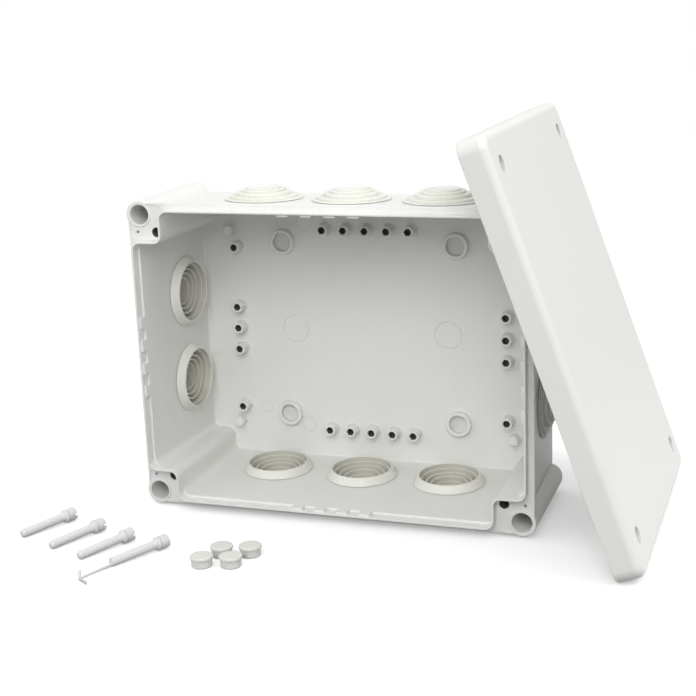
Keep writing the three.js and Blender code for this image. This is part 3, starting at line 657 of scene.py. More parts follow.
def knockout_score(side):
    inner = KNOCKOUT_RADIUS - SCORE_WIDTH
    top = CAVITY_DEPTH - OVERRUN
    bottom = CAVITY_DEPTH + SCORE_DEPTH
    profile = [(inner - OVERRUN, top), (inner, CAVITY_DEPTH), (inner + SCORE_WIDTH / 3, bottom),
               (KNOCKOUT_RADIUS - SCORE_WIDTH / 3, bottom), (KNOCKOUT_RADIUS, CAVITY_DEPTH),
               (KNOCKOUT_RADIUS + OVERRUN, top)]
    return moved(turned(profile, ROUND_STEPS["tube"]), x=side * KNOCKOUT_OFFSET)


def gland_hole(at, turn):
    reach = 2 * (WALL + OVERRUN)
    radius = GLAND_NECK_RADIUS + GLAND_NECK_CLEARANCE
    bm = turn_up(turned([(0, -reach), (radius, -reach), (radius, reach), (0, reach)], ROUND_STEPS["gland"]))
    bmesh.ops.rotate(bm, verts=bm.verts, cent=(0, 0, 0), matrix=Matrix.Rotation(turn, 3, "Y"))
    return moved(bm, *at)


def base_body():
    body = base_shell()
    join(body, solid(*four_corners(corner_tube)))
    cut(body, *four_corners(pillar_face))
    join(body, lip())
    cut(body, cavity(), lip_band())
    cut(body, *four_corners(pillar_pocket))
    cut(body, solid(*four_corners(tube_hole)), solid(*four_corners(pilot_hole)), solid(*four_corners(tie_hole)))
    cut(body, solid(*[gland_hole(at, turn) for name, at, turn in gland_places()]))
    cut(body, solid(knockout_score(1), knockout_score(-1)))
    join(body, posts(), solid(*four_corners(mounting_ring)), solid(*four_corners(stub)))
    return body


def paint_hole_shade(obj):
    """Painted shade: the map of the base marks the faces far down in its post and lid screw holes, and faintly those
    in its mounting rings, so that they are darkened."""
    layer = obj.data.uv_layers.new(name=SHADE_MAP)
    shares = [0.0] * len(obj.data.loops)
    tip = CAVITY_DEPTH - POST_HEIGHT
    ring_mouth = CAVITY_DEPTH - BOSS_HEIGHT + HOLE_START
    holes = [(x, z, POST_HOLE_RADIUS, tip + HOLE_START, 1.0) for x, z in post_places()]
    for i, j in CORNERS:
        holes.append((i * SCREW_X, j * SCREW_Z, PILOT_RADIUS, FACE_RECESS + PILOT_START, 1.0))
        holes.append((i * BOSS_OFFSET, j * BOSS_OFFSET, BOSS_BORE_RADIUS, ring_mouth, RING_SHADE_SHARE))
    for face in obj.data.polygons:
        x, y, z = face.center
        for hole_x, hole_z, radius, mouth, share in holes:
            if mouth < y < BASE_DEPTH - NEAR_WALL and math.hypot(x - hole_x, z - hole_z) < radius + NEAR_WALL:
                for k in face.loop_indices:
                    shares[k] = share
    for k, share in enumerate(shares):
        layer.data[k].uv = (share, 0.0)
    return obj


# Cable glands


def gland_places():
    """Name, middle of the hole on the outside of its wall, and the way each gland points."""
    inset = wall_inset(GLAND_DEPTH)
    places = []
    for wall, sign in (("top", 1), ("bottom", -1)):
        for k in (-1, 0, 1):
            at = (k * GLAND_PITCH, GLAND_DEPTH, sign * (HALF_HEIGHT - inset))
            places.append((f"gland_{wall}_{k + 2}", at, 0 if sign > 0 else math.pi))
    for wall, sign in (("left", -1), ("right", 1)):
        for k in (1, -1):
            at = (sign * (HALF_WIDTH - inset), GLAND_DEPTH, k * GLAND_PITCH / 2)
            places.append((f"gland_{wall}_{1 if k > 0 else 2}", at, sign * math.pi / 2))
    return places


def gland_profile():
    """Radius and height of the section, from the dished tip over the steps, flange and neck to the
    collar inside the box and the rimmed steps under the membrane."""
    inner = -(WALL + GLAND_SEAT)
    mouth = inner - GLAND_COLLAR_HEIGHT
    top = GLAND_STEP_RADII[-1]
    outside = [
        (0, GLAND_HEIGHT - GLAND_DISH),
        (GLAND_DISH_RADIUS - GLAND_DISH_SLOPE, GLAND_HEIGHT - GLAND_DISH, GLAND_DISH_FILLET),
        (GLAND_DISH_RADIUS, GLAND_HEIGHT, GLAND_FLANGE_EDGE), (top, GLAND_HEIGHT, GLAND_STEP_EDGE),
    ]
    for k in range(len(GLAND_STEP_RADII) - 1, -1, -1):
        radius = GLAND_STEP_RADII[k]
        foot = GLAND_STEP_HEIGHTS[k - 1] if k else GLAND_SEAT + GLAND_FLANGE
        outside += [(radius - GLAND_GROOVE / 2, foot + GLAND_GROOVE), (radius - GLAND_GROOVE, foot)]
        if k:
            outside.append((GLAND_STEP_RADII[k - 1], foot, GLAND_STEP_EDGE))
    rings = []
    previous = GLAND_MOUTH_RADIUS - GLAND_RIM_WIDTH
    for k, (radius, crest) in enumerate(zip(GLAND_RING_RADII, GLAND_RING_CRESTS)):
        tread = GLAND_STEP_HEIGHTS[k] - GLAND_SKIN
        rings += [(previous, tread), (radius + GLAND_RING_WIDTH, tread),
                  (radius + GLAND_RING_WIDTH, crest, GLAND_RING_EDGE), (radius, crest, GLAND_RING_EDGE)]
        last = k + 1 == len(GLAND_STEP_RADII)
        previous = radius - GLAND_DISC_STEP if last else GLAND_STEP_RADII[k + 1] - GLAND_RING_WALL
    tip = GLAND_HEIGHT - GLAND_DISH - GLAND_SKIN
    return [
        *outside,
        (GLAND_FLANGE_RADIUS, GLAND_SEAT + GLAND_FLANGE, GLAND_FLANGE_EDGE), (GLAND_FLANGE_RADIUS, GLAND_SEAT),
        (GLAND_NECK_RADIUS, GLAND_SEAT), (GLAND_NECK_RADIUS, inner),
        (GLAND_COLLAR_RADIUS, inner, GLAND_FLANGE_EDGE),
        (GLAND_MOUTH_RADIUS + GLAND_RIM_WIDTH, mouth, GLAND_RIM_EDGE),
        (GLAND_MOUTH_RADIUS - GLAND_RIM_WIDTH, mouth, GLAND_RIM_EDGE), *rings, (previous, tip), (0, tip),
    ]


def gland_body():
    """The flange lies along the drafted wall while the tip stays level. Its map marks where shade is painted: the
    faces of the trenches between the rings with one, the disc behind them with less, and all others with zero."""
    bm = turn_up(turned(gland_profile(), ROUND_STEPS["gland"]))
    layer = bm.loops.layers.uv.new(SHADE_MAP)
    bm.normal_update()
    mouth_radius = GLAND_MOUTH_RADIUS - GLAND_RIM_WIDTH + NEAR_WALL
    for face in bm.faces:
        middle = face.calc_center_median()
        radius = middle.xy.length
        steps = [top for top, reach in zip(GLAND_STEP_HEIGHTS, GLAND_STEP_RADII) if radius + NEAR_STEP < reach]
        dish = GLAND_DISH if radius < GLAND_DISH_RADIUS else 0
        under = middle.z < max(steps, default=GLAND_STEP_HEIGHTS[0]) - dish - NEAR_LEVEL
        level = any(abs(middle.z - height) < NEAR_LEVEL for height in GLAND_RING_CRESTS)
        crest = level and abs(face.normal.z) > LEVEL_NORMAL
        hidden = radius < mouth_radius and middle.z > HOLLOW_FROM and under and not crest
        disc = hidden and radius < GLAND_RING_RADII[-1] - DISC_MARGIN and middle.z > DISC_FROM
        for loop in face.loops:
            loop[layer].uv = ((DISC_SHADE_SHARE if disc else 1.0) if hidden else 0.0, 0.0)
    for vert in bm.verts:
        share = min(1, 1 - vert.co.z / GLAND_HEIGHT)
        vert.co.z -= wall_slope(vert.co.y) * share
    return solid(bm)


# Lid, in its closed place


def lid_shell():
    outer = slab(rectangle(HALF_WIDTH, HALF_HEIGHT, TUBE_RADIUS), -LID_DEPTH, 0)
    round_rim(outer, -LID_DEPTH, LID_EDGE_RADIUS, ROUND_STEPS["corner"])
    round_rim(outer, 0, LID_RIM_EDGE)
    waist, mouth = MOUTH_WAIST * LID_RIM_EDGE, MOUTH_OUTSET * LID_RIM_EDGE
    stations = [(LID_FACE - LID_DEPTH, 0.0), (-LID_RIM_EDGE, 0.0), (-waist, waist),
                (MOUTH_LEAD * LID_RIM_EDGE, mouth), (OVERRUN, mouth)]
    wide, tall = HALF_WIDTH - LID_WALL, HALF_HEIGHT - LID_WALL
    room = loft([
        (depth, rectangle(wide + outset, tall + outset, LID_INNER_RADIUS + outset)) for depth, outset in stations
    ])
    return cut(solid(outer), solid(room))


def gasket_ridge():
    """The ridge that carries the gasket, and the rib that keeps it in place."""
    inner = -(GROOVE_SIDE + RIB_THICKNESS)
    to_wall = CAVITY_INSET - LIP_STEP - LID_WALL + SINK
    back = LID_FACE - LID_DEPTH - SINK
    ridge = cut(solid(slab(seal_line(to_wall), back, GROOVE_FLOOR)),
                solid(slab(seal_line(inner), back - OVERRUN, GROOVE_FLOOR + OVERRUN)))
    crest = GROOVE_FLOOR + RIB_HEIGHT
    rib = round_rim(slab(seal_line(-GROOVE_SIDE), GROOVE_FLOOR - SINK, crest), crest, RIB_EDGE)
    hollow = slab(seal_line(inner), GROOVE_FLOOR - OVERRUN, crest + OVERRUN)
    return join(ridge, cut(solid(rib), solid(hollow)))


def lid_boss(i, j):
    radius = HEAD_BORE_RADIUS + HEAD_BORE_WALL
    foot = LID_FACE - LID_DEPTH - SINK
    profile = [(0, foot), (radius, foot), (radius, 0, LID_BOSS_EDGE), (0, 0)]
    return moved(turned(profile, ROUND_STEPS["tube"]), x=i * SCREW_X, z=j * SCREW_Z)


def lid_screw_hole(i, j):
    seat = HEAD_BORE_DEPTH - LID_DEPTH
    rim = [(HEAD_BORE_RADIUS + outset, depth) for depth, outset in flared(-LID_DEPTH, HEAD_BORE_EDGE)]
    profile = [(0, -LID_DEPTH - OVERRUN), *rim, (HEAD_BORE_RADIUS, seat), (SHANK_HOLE_RADIUS, seat),
               (SHANK_HOLE_RADIUS, OVERRUN), (0, OVERRUN)]
    return moved(turned(profile, ROUND_STEPS["tube"]), x=i * SCREW_X, z=j * SCREW_Z)


def lid_body():
    groove = cut(solid(slab(seal_line(LIP_THICKNESS + GROOVE_SIDE), GROOVE_FLOOR, OVERRUN)),
                 solid(slab(seal_line(-GROOVE_SIDE), GROOVE_FLOOR - OVERRUN, 2 * OVERRUN)))
    lid = join(lid_shell(), gasket_ridge(), solid(*four_corners(lid_boss)))
    return cut(lid, groove, solid(*four_corners(lid_screw_hole)))


def gasket_body():
    side = GROOVE_SIDE - SEAT_GAP
    start = GROOVE_FLOOR + SEAT_GAP
    end = start + GASKET_THICKNESS
    outer = round_rim(slab(seal_line(LIP_THICKNESS + side), start, end), end, GASKET_EDGE)
    return cut(solid(outer), solid(slab(seal_line(-side), start - OVERRUN, end + OVERRUN)))


# Screws, along Z with the tip at zero, and caps, standing on their body


def screw_profile(tailed):
    head = SCREW_LENGTH - HEAD_LENGTH
    groove = head + COLLAR_THICKNESS
    tip = [(0, 0), (TIP_RADIUS, 0, TIP_EDGE), (SHANK_RADIUS, TIP_LENGTH)]
    if tailed:
        tip = [(0, 0), (SHANK_RADIUS, 0, TIP_EDGE)]
    thread = []
    root = SHANK_RADIUS - THREAD_DEPTH
    for k in range(THREAD_COUNT):
        at = 2 * TIP_LENGTH + k * THREAD_PITCH
        down, up, out = [at + share * THREAD_PITCH for share in THREAD_SHARES]
        thread += [(SHANK_RADIUS, at), (root, down), (root, up), (SHANK_RADIUS, out)]
    return [
        *tip, *thread, (SHANK_RADIUS, head - NECK_LENGTH), (HEAD_RADIUS, head - NECK_RIM), (HEAD_RADIUS, head),
        (COLLAR_RADIUS, head, COLLAR_EDGE), (COLLAR_RADIUS, groove, COLLAR_EDGE), (HEAD_GROOVE_RADIUS, groove),
        (HEAD_GROOVE_RADIUS, groove + HEAD_GROOVE_WIDTH), (HEAD_RADIUS, groove + HEAD_GROOVE_WIDTH, HEAD_EDGE),
        (HEAD_RADIUS, SCREW_LENGTH, HEAD_ROUNDING), (0, SCREW_LENGTH),
    ]


def screw_body(tailed):
    body = solid(turn_up(turned(screw_profile(tailed), ROUND_STEPS["screw"])))
    reach = COLLAR_RADIUS + OVERRUN
    slot = block((-reach, -SLOT_WIDTH / 2, SCREW_LENGTH - SLOT_DEPTH),
                 (reach, SLOT_WIDTH / 2, SCREW_LENGTH + OVERRUN), SLOT_EDGE)
    turn = Matrix.Rotation(TAILED_SLOT_TURN if tailed else 0, 3, "Z")
    bmesh.ops.rotate(slot, verts=slot.verts, cent=(0, 0, 0), matrix=turn)
    cut(body, solid(slot))
    if tailed:
        join(body, *tail())
    return body


def lying_tilt(tip_from):
    return math.atan((COLLAR_RADIUS - SHANK_RADIUS) / (SCREW_LENGTH - HEAD_LENGTH - tip_from))


def tail():
    """A thin tail from the underside of the shank, and the two barbs of its anchor, which lies rolled
    over with one barb on the floor."""
    under = SHANK_RADIUS - TAIL_RADIUS
    rise = TAIL_RISE + TAIL_LENGTH * math.tan(lying_tilt(0))
    end = Vector((-TAIL_LENGTH * math.sin(TAIL_BEND), under - rise, -TAIL_LENGTH * math.cos(TAIL_BEND)))
    start = Vector((0, under - TAIL_SINK, 0))
    way = end - start
    rod = turned([(0, -TIP_LENGTH), (TAIL_RADIUS, -TIP_LENGTH), (TAIL_RADIUS * TAIL_TAPER, way.length, TAIL_EDGE),
                  (0, way.length)], ROUND_STEPS["post"])
    turn = Vector((0, 1, 0)).rotation_difference(way).to_matrix()
    bmesh.ops.rotate(rod, verts=rod.verts, cent=(0, 0, 0), matrix=turn)
    aim = Matrix.Rotation(TAIL_BEND, 3, "Y") @ Matrix.Rotation(math.atan2(end.y, TAIL_LENGTH), 3, "X")
    barbs = []
    for side in (1, -1):
        bm = block((-BARB_WIDTH / 2, -BARB_THICKNESS / 2, -BARB_WIDTH / 2),
                   (BARB_WIDTH / 2, BARB_THICKNESS / 2, BARB_LENGTH - BARB_WIDTH / 2), BARB_EDGE)
        lean = aim @ Matrix.Rotation(BARB_ROLL, 3, "Z") @ Matrix.Rotation(side * BARB_ANGLE, 3, "Y")
        bmesh.ops.rotate(bm, verts=bm.verts, cent=(0, 0, 0), matrix=lean)
        barbs.append(solid(moved(bm, *end)))
    return [solid(moved(rod, *start)), *barbs]


def cap_body():
    under = CAP_HEIGHT - CAP_FLANGE
    profile = [
        (0, 0), (CAP_RADIUS - CAP_CHAMFER, 0, CAP_EDGE), (CAP_RADIUS, CAP_CHAMFER, CAP_EDGE),
        (CAP_RADIUS, under - CAP_NECK_HEIGHT), (CAP_RADIUS - CAP_NECK_DEPTH, under),
        (CAP_FLANGE_RADIUS, under, CAP_FLANGE_EDGE), (CAP_FLANGE_RADIUS, CAP_HEIGHT, CAP_TOP_EDGE), (0, CAP_HEIGHT),
    ]
    body = solid(turn_up(turned(profile, ROUND_STEPS["tube"])))
    slits = []
    for side in (1, -1):
        middle = side * CAP_SLIT_OFFSET
        slits.append(block((middle - CAP_SLIT_WIDTH / 2, -CAP_RADIUS - OVERRUN, -OVERRUN),
                           (middle + CAP_SLIT_WIDTH / 2, CAP_SLIT_DEPTH - CAP_RADIUS, CAP_SLIT_HEIGHT)))
    return cut(body, solid(*slits))


# Finishes: noises by their waves in a millimetre, detail and stretch, and the span of them that counts
CLOUD_NOISE, CLOUD_SPAN = (0.014, 3.0), (0.3, 0.7)
STREAK_NOISE, STREAK_SPAN = (0.35, 2.0, (1, 1, 0.03)), (0.35, 0.7)
SPECK_NOISE, SPECK_SPAN = (1.6, 2.0), (0.62, 0.72)
BLUSH_NOISE, BLUSH_SPAN = (0.12, 4.0), (0.35, 0.65)
BLOOM_NOISE, BLOOM_SPAN = (0.5, 4.0), (0.45, 0.7)
GRAIN_NOISE = (5.0, 3.0)
SWELL_NOISE = (0.06, 1.0)
DUST_NOISE = (0.05, 3.0)
RUBBER_GRAIN = (4.0, 3.0)

# How much each of them tells in the colour, the relief and the gloss
CLOUD_SHARE, STREAK_SHARE, SPECK_SHARE = 0.7, 0.1, 0.12
DUST_SHARE, BLOOM_SHARE = 0.6, 0.4
MARK_SHARE, BLUSH_SHARE = 0.14, 0.35
GRAIN_HEIGHT, SWELL_HEIGHT, STREAK_HEIGHT, MARK_HEIGHT = 0.05, 0.5, 0.2, 0.4
RUBBER_GRAIN_HEIGHT, BLOOM_HEIGHT = 0.12, 0.2
CLOUD_GLOSS, GRAIN_GLOSS, PLASTIC_GLOSS = 0.06, 0.08, 0.07
RUBBER_GRAIN_GLOSS, BLOOM_GLOSS, RUBBER_GLOSS = 0.1, 0.08, 0.09
PLASTIC_RELIEF, PLASTIC_EDGE, PLASTIC_IOR = 0.12, 0.35, 1.5
RUBBER_RELIEF, RUBBER_EDGE = 0.1, 0.2
BEVEL_SAMPLES = 6

# Marks of the mould on the back wall, and the depths, along Y in millimetres, between which they show
BACK_FROM, BACK_TO = (-4.0, -3.4), (-1.6, -1.0)
MARK_RINGS = [(-37.8, 62.4, 4.5), (-66.8, -48.5, 3.6), (-39.9, -57.9, 4.2), (-95.9, -17.4, 1.2)]
MARK_WIDTH = 0.5
RING_CORE = 0.3
BLUSH_PLACE = (-0.6, 1.0)
BLUSH_RADIUS = 14.0


class Value:
    """A socket of a finish; sums on it become maths nodes."""

    def __init__(self, finish, socket):
        self.finish = finish
        self.socket = socket

    def maths(self, operation, *others):
        sockets = dict(enumerate([self, *others]))
        return self.finish.node("Math", {"operation": operation}, sockets)

    def __add__(self, other):
        return self.maths("ADD", other)

    __radd__ = __add__

    def __mul__(self, other):
        return self.maths("MULTIPLY", other)

    __rmul__ = __mul__

    def __sub__(self, other):
        return self.maths("SUBTRACT", other)

    def __rsub__(self, other):
        return (self * -1) + other


class Finish:
    """A material and the nodes that make it."""

    def __init__(self, name):
        self.material = bpy.data.materials.new(name)
        self.material.use_nodes = True
        self.tree = self.material.node_tree
        self.shader = self.tree.nodes["Principled BSDF"]

    def feed(self, socket, value):
        if isinstance(value, Value):
            self.tree.links.new(value.socket, socket)
        else:
            socket.default_value = value

    def node(self, kind, settings=None, sockets=None, output=0):
        node = self.tree.nodes.new("ShaderNode" + kind)
        for key, value in (settings or {}).items():
            setattr(node, key, value)
        for key, value in (sockets or {}).items():
            self.feed(node.inputs[key], value)
        return Value(self, node.outputs[output])

    def places(self, stretch=(1, 1, 1)):
        """Object coordinates, in millimetres, stretched along the axes."""
        at = self.node("TexCoord", output="Object")
        return self.node("Mapping", None, {"Vector": at, "Scale": [share / MM for share in stretch]})

    def noise(self, per_mm, detail=2.0, stretch=(1, 1, 1)):
        """Noise from 0 to 1, with so many waves in a millimetre."""
        sockets = {"Vector": self.places(stretch), "Scale": per_mm, "Detail": detail}
        return self.node("TexNoise", None, sockets)

    def mixed(self, share, first, second):
        settings = {"data_type": "RGBA", "blend_type": "MIX", "clamp_factor": True}
        sockets = {0: share, 6: (*first, 1) if isinstance(first, tuple) else first,
                   7: (*second, 1) if isinstance(second, tuple) else second}
        return self.node("Mix", settings, sockets, output=2)

    def ramp(self, value, low, high):
        """Zero below low, one above high."""
        return self.node("MapRange", None, {"Value": value, "From Min": low, "From Max": high})

    def relief(self, height, depth_mm, edge_mm):
        """Bumps of a real depth over edges softened by a small radius."""
        soft = self.node("Bevel", {"samples": BEVEL_SAMPLES}, {"Radius": edge_mm * MM})
        sockets = {"Height": height, "Distance": depth_mm * MM, "Strength": 1.0, "Normal": soft}
        self.feed(self.shader.inputs["Normal"], self.node("Bump", None, sockets))

    def ring(self, x, z, radius, width):
        """One on a circle seen along Y, zero off it."""
        at = self.places((1, 0, 1))
        away = self.node("VectorMath", {"operation": "DISTANCE"}, {0: at, 1: (x, 0, z)}, "Value")
        return 1 - self.ramp((away - radius).maths("ABSOLUTE"), RING_CORE * width, width)

    def done(self, colour, roughness):
        self.feed(self.shader.inputs["Base Color"], colour)
        self.feed(self.shader.inputs["Roughness"], roughness)
        return self.material


def tone(red, green, blue):
    """A colour given as it is seen, from 0 to 255, in linear light."""

    def linear(value):
        share = value / 255
        return share / 12.92 if share <= 0.04045 else ((share + 0.055) / 1.055) ** 2.4

    return (linear(red), linear(green), linear(blue))


def mould_marks(finish):
    """Faint rings of ejector pins on the inside of the back wall, and the blush over its gate."""
    split = finish.node("SeparateXYZ", None, {0: finish.places()}, "Y")
    on_wall = finish.ramp(split, *BACK_FROM) * (1 - finish.ramp(split, *BACK_TO))
    rings = finish.ring(*MARK_RINGS[0], MARK_WIDTH)
    for place in MARK_RINGS[1:]:
        rings = rings.maths("MAXIMUM", finish.ring(*place, MARK_WIDTH))
    blush = finish.ring(*BLUSH_PLACE, 0, BLUSH_RADIUS) * finish.ramp(finish.noise(*BLUSH_NOISE), *BLUSH_SPAN)
    return rings * on_wall, blush * on_wall


def moulded_plastic(name, light, dark, roughness, flow=0.0):
    """Injection-moulded plastic: a faint cloudiness, a spark-eroded grain and, where it flowed far, the upright lines
    and the marks of its mould, with painted shade far down in its holes."""
    finish = Finish(name)
    cloud = finish.ramp(finish.noise(*CLOUD_NOISE), *CLOUD_SPAN)
    streak = finish.ramp(finish.noise(*STREAK_NOISE), *STREAK_SPAN)
    speck = finish.ramp(finish.noise(*SPECK_NOISE), *SPECK_SPAN)
    share = cloud * CLOUD_SHARE + streak * (STREAK_SHARE + flow) - speck * SPECK_SHARE
    colour = finish.mixed(share, dark, light)
    grain = finish.noise(*GRAIN_NOISE)
    swell = finish.noise(*SWELL_NOISE)
    height = grain * GRAIN_HEIGHT + swell * SWELL_HEIGHT + streak * flow * STREAK_HEIGHT
    if flow:
        rings, blush = mould_marks(finish)
        colour = finish.mixed(rings * MARK_SHARE, colour, MARK_TONE)
        colour = finish.mixed(blush * BLUSH_SHARE, colour, BLUSH_TONE)
        height = height - rings * MARK_HEIGHT
        # Painted shade: the faces marked far down in the post, screw and ring holes are darkened towards a dark grey.
        chart = finish.node("UVMap", {"uv_map": SHADE_MAP})
        colour = finish.mixed(finish.node("SeparateXYZ", None, {0: chart}, "X"), colour, HOLE_SHADE_TONE)
    finish.relief(height, PLASTIC_RELIEF, PLASTIC_EDGE)
    finish.shader.inputs["IOR"].default_value = PLASTIC_IOR
    return finish.done(colour, cloud * CLOUD_GLOSS + grain * GRAIN_GLOSS + (roughness - PLASTIC_GLOSS))


def soft_rubber(name, light, dark, roughness, trench_shade=None):
    """Matt rubber with a dusty bloom, and painted shade in its trenches."""
    finish = Finish(name)
    cloud = finish.ramp(finish.noise(*DUST_NOISE), *CLOUD_SPAN)
    bloom = finish.ramp(finish.noise(*BLOOM_NOISE), *BLOOM_SPAN)
    colour = finish.mixed(cloud * DUST_SHARE + bloom * BLOOM_SHARE, dark, light)
    # Painted shade: the marked trench faces, and more faintly the disc, take the darker tone.
    if trench_shade:
        chart = finish.node("UVMap", {"uv_map": SHADE_MAP})
        colour = finish.mixed(finish.node("SeparateXYZ", None, {0: chart}, "X"), colour, trench_shade)
    grain = finish.noise(*RUBBER_GRAIN)
    finish.relief(grain * RUBBER_GRAIN_HEIGHT + bloom * BLOOM_HEIGHT, RUBBER_RELIEF, RUBBER_EDGE)
    return finish.done(colour, grain * RUBBER_GRAIN_GLOSS + bloom * BLOOM_GLOSS + (roughness - RUBBER_GLOSS))


MARK_TONE = tone(150, 151, 146)
BLUSH_TONE = tone(232, 233, 230)
# Painted shade for the insides of holes
HOLE_SHADE_TONE = tone(112, 110, 106)

BASE_FINISH = moulded_plastic("light_grey_plastic", tone(233, 233, 230), tone(227, 227, 224), 0.42, 0.08)
LID_FINISH = moulded_plastic("lid_plastic", tone(226, 226, 222), tone(221, 221, 216), 0.36)
# The last tone is painted shade for the gland's trenches and the disc behind them.
GLAND_FINISH = soft_rubber("gland_rubber", tone(230, 230, 224), tone(223, 222, 215), 0.6, tone(200, 198, 188))
GASKET_FINISH = soft_rubber("gasket_rubber", tone(98, 99, 96), tone(84, 85, 82), 0.8)
SCREW_FINISH = moulded_plastic("nylon", tone(224, 224, 223), tone(215, 215, 214), 0.38)
CAP_FINISH = moulded_plastic("cap_plastic", tone(225, 225, 220), tone(218, 218, 212), 0.42)

# Setting the pieces down
SHARP_ANGLE = 32 * DEG
SHADING_WEIGHT = 80


def piece(obj, name, place, finish, body):
    """A finished work object takes the place of its node."""
    obj.name = name
    obj.data.name = name
    obj.data.transform(Matrix.Scale(MM, 4) @ place)
    obj.data.materials.clear()
    obj.data.materials.append(finish)
    obj.data.polygons.foreach_set("use_smooth", [True] * len(obj.data.polygons))
    obj.data.set_sharp_from_angle(angle=SHARP_ANGLE)
    even = obj.modifiers.new("even_shading", "WEIGHTED_NORMAL")
    even.keep_sharp = True
    even.weight = SHADING_WEIGHT
    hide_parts(name.removesuffix("_finished"))
    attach(obj, body)
    return obj


FROM_LEDGE = Matrix.Translation((0, -BASE_DEPTH, 0))

piece(paint_hole_shade(base_body()), "base_finished", FROM_LEDGE, BASE_FINISH, "box")
gland_shape = gland_body()
for gland_name, gland_at, gland_turn in gland_places():
    own = bpy.data.objects.new(gland_name, gland_shape.data.copy())
    bpy.context.scene.collection.objects.link(own)
    where = FROM_LEDGE @ Matrix.Translation(gland_at) @ Matrix.Rotation(gland_turn, 4, "Y")
    piece(own, gland_name + "_finished", where, GLAND_FINISH, "box")
bpy.data.objects.remove(gland_shape)


def lid_place():
    """The lid stands on its short rim edge and leans back on the tube at the top right corner."""
    s, c = math.sin(LID_LEAN), math.cos(LID_LEAN)
    z = FLOOR + HALF_WIDTH * c
    reach = LID_DEPTH - LID_FACE - SEAT_GAP - TUBE_RADIUS
    x = TUBE_X - (reach - (TUBE_Z - z) * s) / c
    turn = Matrix(((-s, -c, 0), (0, 0, -1), (c, -s, 0))).to_4x4()
    return FROM_LEDGE @ Matrix.Translation((x, LID_SETBACK, z)) @ turn


piece(lid_body(), "lid_finished", lid_place(), LID_FINISH, "cover")
piece(gasket_body(), "lid_gasket_finished", lid_place(), GASKET_FINISH, "cover")


def screw_place(shares, heading, tip_from):
    tilt = lying_tilt(tip_from)
    lift = SHANK_RADIUS * math.cos(tilt) - tip_from * math.sin(tilt)
    at = (shares[0] * HALF_WIDTH, -shares[1] * BASE_DEPTH, FLOOR + lift)
    turn = Matrix.Rotation(heading - math.pi / 2, 4, "Z") @ Matrix.Rotation(tilt - math.pi / 2, 4, "X")
    return FROM_LEDGE @ Matrix.Translation(at) @ turn


for k, (tip_shares, screw_heading) in enumerate(zip(SCREW_TIP_SHARES, SCREW_HEADINGS)):
    with_tail = k == len(SCREW_HEADINGS) - 1
    screw_name = "lid_screw_tailed" if with_tail else f"lid_screw_{k + 1}"
    laid = screw_place(tip_shares, screw_heading, 0 if with_tail else TIP_LENGTH)
    piece(screw_body(with_tail), screw_name + "_finished", laid, SCREW_FINISH, f"screw_{k + 1}")

cap_spot = Vector((CAP_SPOT_SHARES[0] * HALF_WIDTH, -CAP_SPOT_SHARES[1] * BASE_DEPTH, FLOOR))
for k, ((across, back), cap_turn) in enumerate(zip(CAP_OFFSET_SHARES, CAP_TURNS)):
    cap_at = cap_spot + Vector((across, back, 0)) * CAP_FLANGE_RADIUS
    stood = FROM_LEDGE @ Matrix.Translation(cap_at) @ Matrix.Rotation(cap_turn, 4, "Z")
    piece(cap_body(), f"cap_{k + 1}_finished", stood, CAP_FINISH, f"plug_{k + 1}")

# Floor, light and camera

FLOOR_SIZE = 6.0
FLOOR_LIGHT = 0.3
FLOOR_ALBEDO = 0.86
FLOOR_BOUNCE = 0.18
CLEAR_FROM = 0.45
CLEAR_TO = 0.9
AMBIENT_TINT = (0.99, 1.0, 1.0, 1)
AMBIENT_LIGHT = 0.87


def seen_directly(finish):
    """One for what the camera sees, straight, mirrored or through glass, and zero for other light."""
    path = finish.tree.nodes.new("ShaderNodeLightPath")
    rays = [Value(finish, path.outputs[name]) for name in ("Is Camera Ray", "Is Glossy Ray", "Is Transmission Ray")]
    return rays[0].maths("MAXIMUM", rays[1]).maths("MAXIMUM", rays[2])


def floor_finish():
    """Matt white that keeps the shadow, and clears to plain white further out."""
    finish = Finish("studio_floor")
    tree = finish.tree
    tree.nodes.remove(finish.shader)
    out = tree.nodes["Material Output"]
    seen = seen_directly(finish)
    lit = finish.node("BsdfDiffuse", None, {"Color": seen * (FLOOR_ALBEDO - FLOOR_BOUNCE) + FLOOR_BOUNCE})
    glow = finish.node("Emission", None, {"Color": (1, 1, 1, 1), "Strength": seen * FLOOR_LIGHT})
    near = finish.node("AddShader", None, {0: lit, 1: glow})
    white = finish.node("Emission", None, {"Color": (1, 1, 1, 1), "Strength": 1.0})
    reach = finish.node("VectorMath", {"operation": "LENGTH"}, {0: finish.node("TexCoord", output="Object")}, "Value")
    share = finish.ramp(reach, CLEAR_FROM, CLEAR_TO) * seen
    tree.links.new(finish.node("MixShader", None, {0: share, 1: near, 2: white}).socket, out.inputs["Surface"])
    return finish.material


floor_mesh = bmesh.new()
bmesh.ops.create_grid(floor_mesh, x_segments=1, y_segments=1, size=FLOOR_SIZE / 2)
floor = solid(floor_mesh)
floor.name = "studio_floor"
floor.location = (0, 0, FLOOR * MM)
floor.data.materials.append(floor_finish())

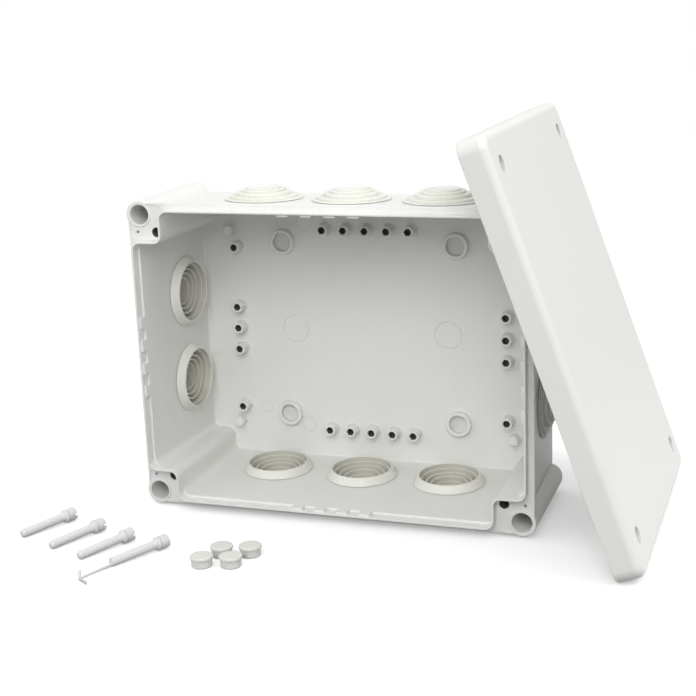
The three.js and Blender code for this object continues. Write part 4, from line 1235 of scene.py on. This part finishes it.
world = bpy.data.worlds.new("studio")
bpy.context.scene.world = world
world.use_nodes = True
sky = world.node_tree
paths = sky.nodes.new("ShaderNodeLightPath")
backdrop = sky.nodes.new("ShaderNodeBackground")
backdrop.inputs["Color"].default_value = (1, 1, 1, 1)
ambient = sky.nodes["Background"]
ambient.inputs["Color"].default_value = AMBIENT_TINT
ambient.inputs["Strength"].default_value = AMBIENT_LIGHT
chosen = sky.nodes.new("ShaderNodeMixShader")
sky.links.new(paths.outputs["Is Camera Ray"], chosen.inputs[0])
sky.links.new(ambient.outputs[0], chosen.inputs[1])
sky.links.new(backdrop.outputs[0], chosen.inputs[2])
sky.links.new(chosen.outputs[0], sky.nodes["World Output"].inputs["Surface"])


# Name, place, aim, size in metres and power of each lamp
LAMPS = [
    ("over", (0.0, -0.35, 1.25), (0, 0, 0), 1.2, 0.8),
    ("front", (0.3, -1.4, 0.85), (0, 0, 0), 0.9, 9.8),
    ("left", (-1.2, -0.7, 0.7), (0, 0, 0), 1.0, 1.2),
    ("right", (0.7, -0.1, 0.65), (0.15, 0, 0.1), 0.4, 2.2),
]


def softbox(name, place, aim, size, watts):
    lamp = bpy.data.lights.new(name, "AREA")
    lamp.shape = "DISK"
    lamp.size = size
    lamp.energy = watts
    obj = bpy.data.objects.new(name, lamp)
    bpy.context.scene.collection.objects.link(obj)
    obj.location = place
    obj.rotation_euler = (Vector(aim) - Vector(place)).to_track_quat("-Z", "Y").to_euler()


for lamp_row in LAMPS:
    softbox(*lamp_row)


CAMERA_PLACE = Vector((0.24386, -0.72276, 0.19120))
CAMERA_RIGHT = Vector((0.94406, 0.32759, -0.03797))
CAMERA_UP = Vector((-0.04881, 0.25267, 0.96632))
CAMERA_AHEAD = Vector((-0.32616, 0.91041, -0.25452))
LENS = 71.29
SENSOR = 36.0
CLIP_START = 0.01

view = bpy.data.cameras.new("camera")
view.lens = LENS
view.sensor_width = SENSOR
view.clip_start = CLIP_START
camera = bpy.data.objects.new("camera", view)
bpy.context.scene.collection.objects.link(camera)
axes = Matrix((CAMERA_RIGHT, CAMERA_UP, -CAMERA_AHEAD)).transposed()
camera.matrix_world = Matrix.Translation(CAMERA_PLACE) @ axes.to_4x4()
bpy.context.scene.camera = camera
bpy.context.scene.view_settings.view_transform = "Standard"
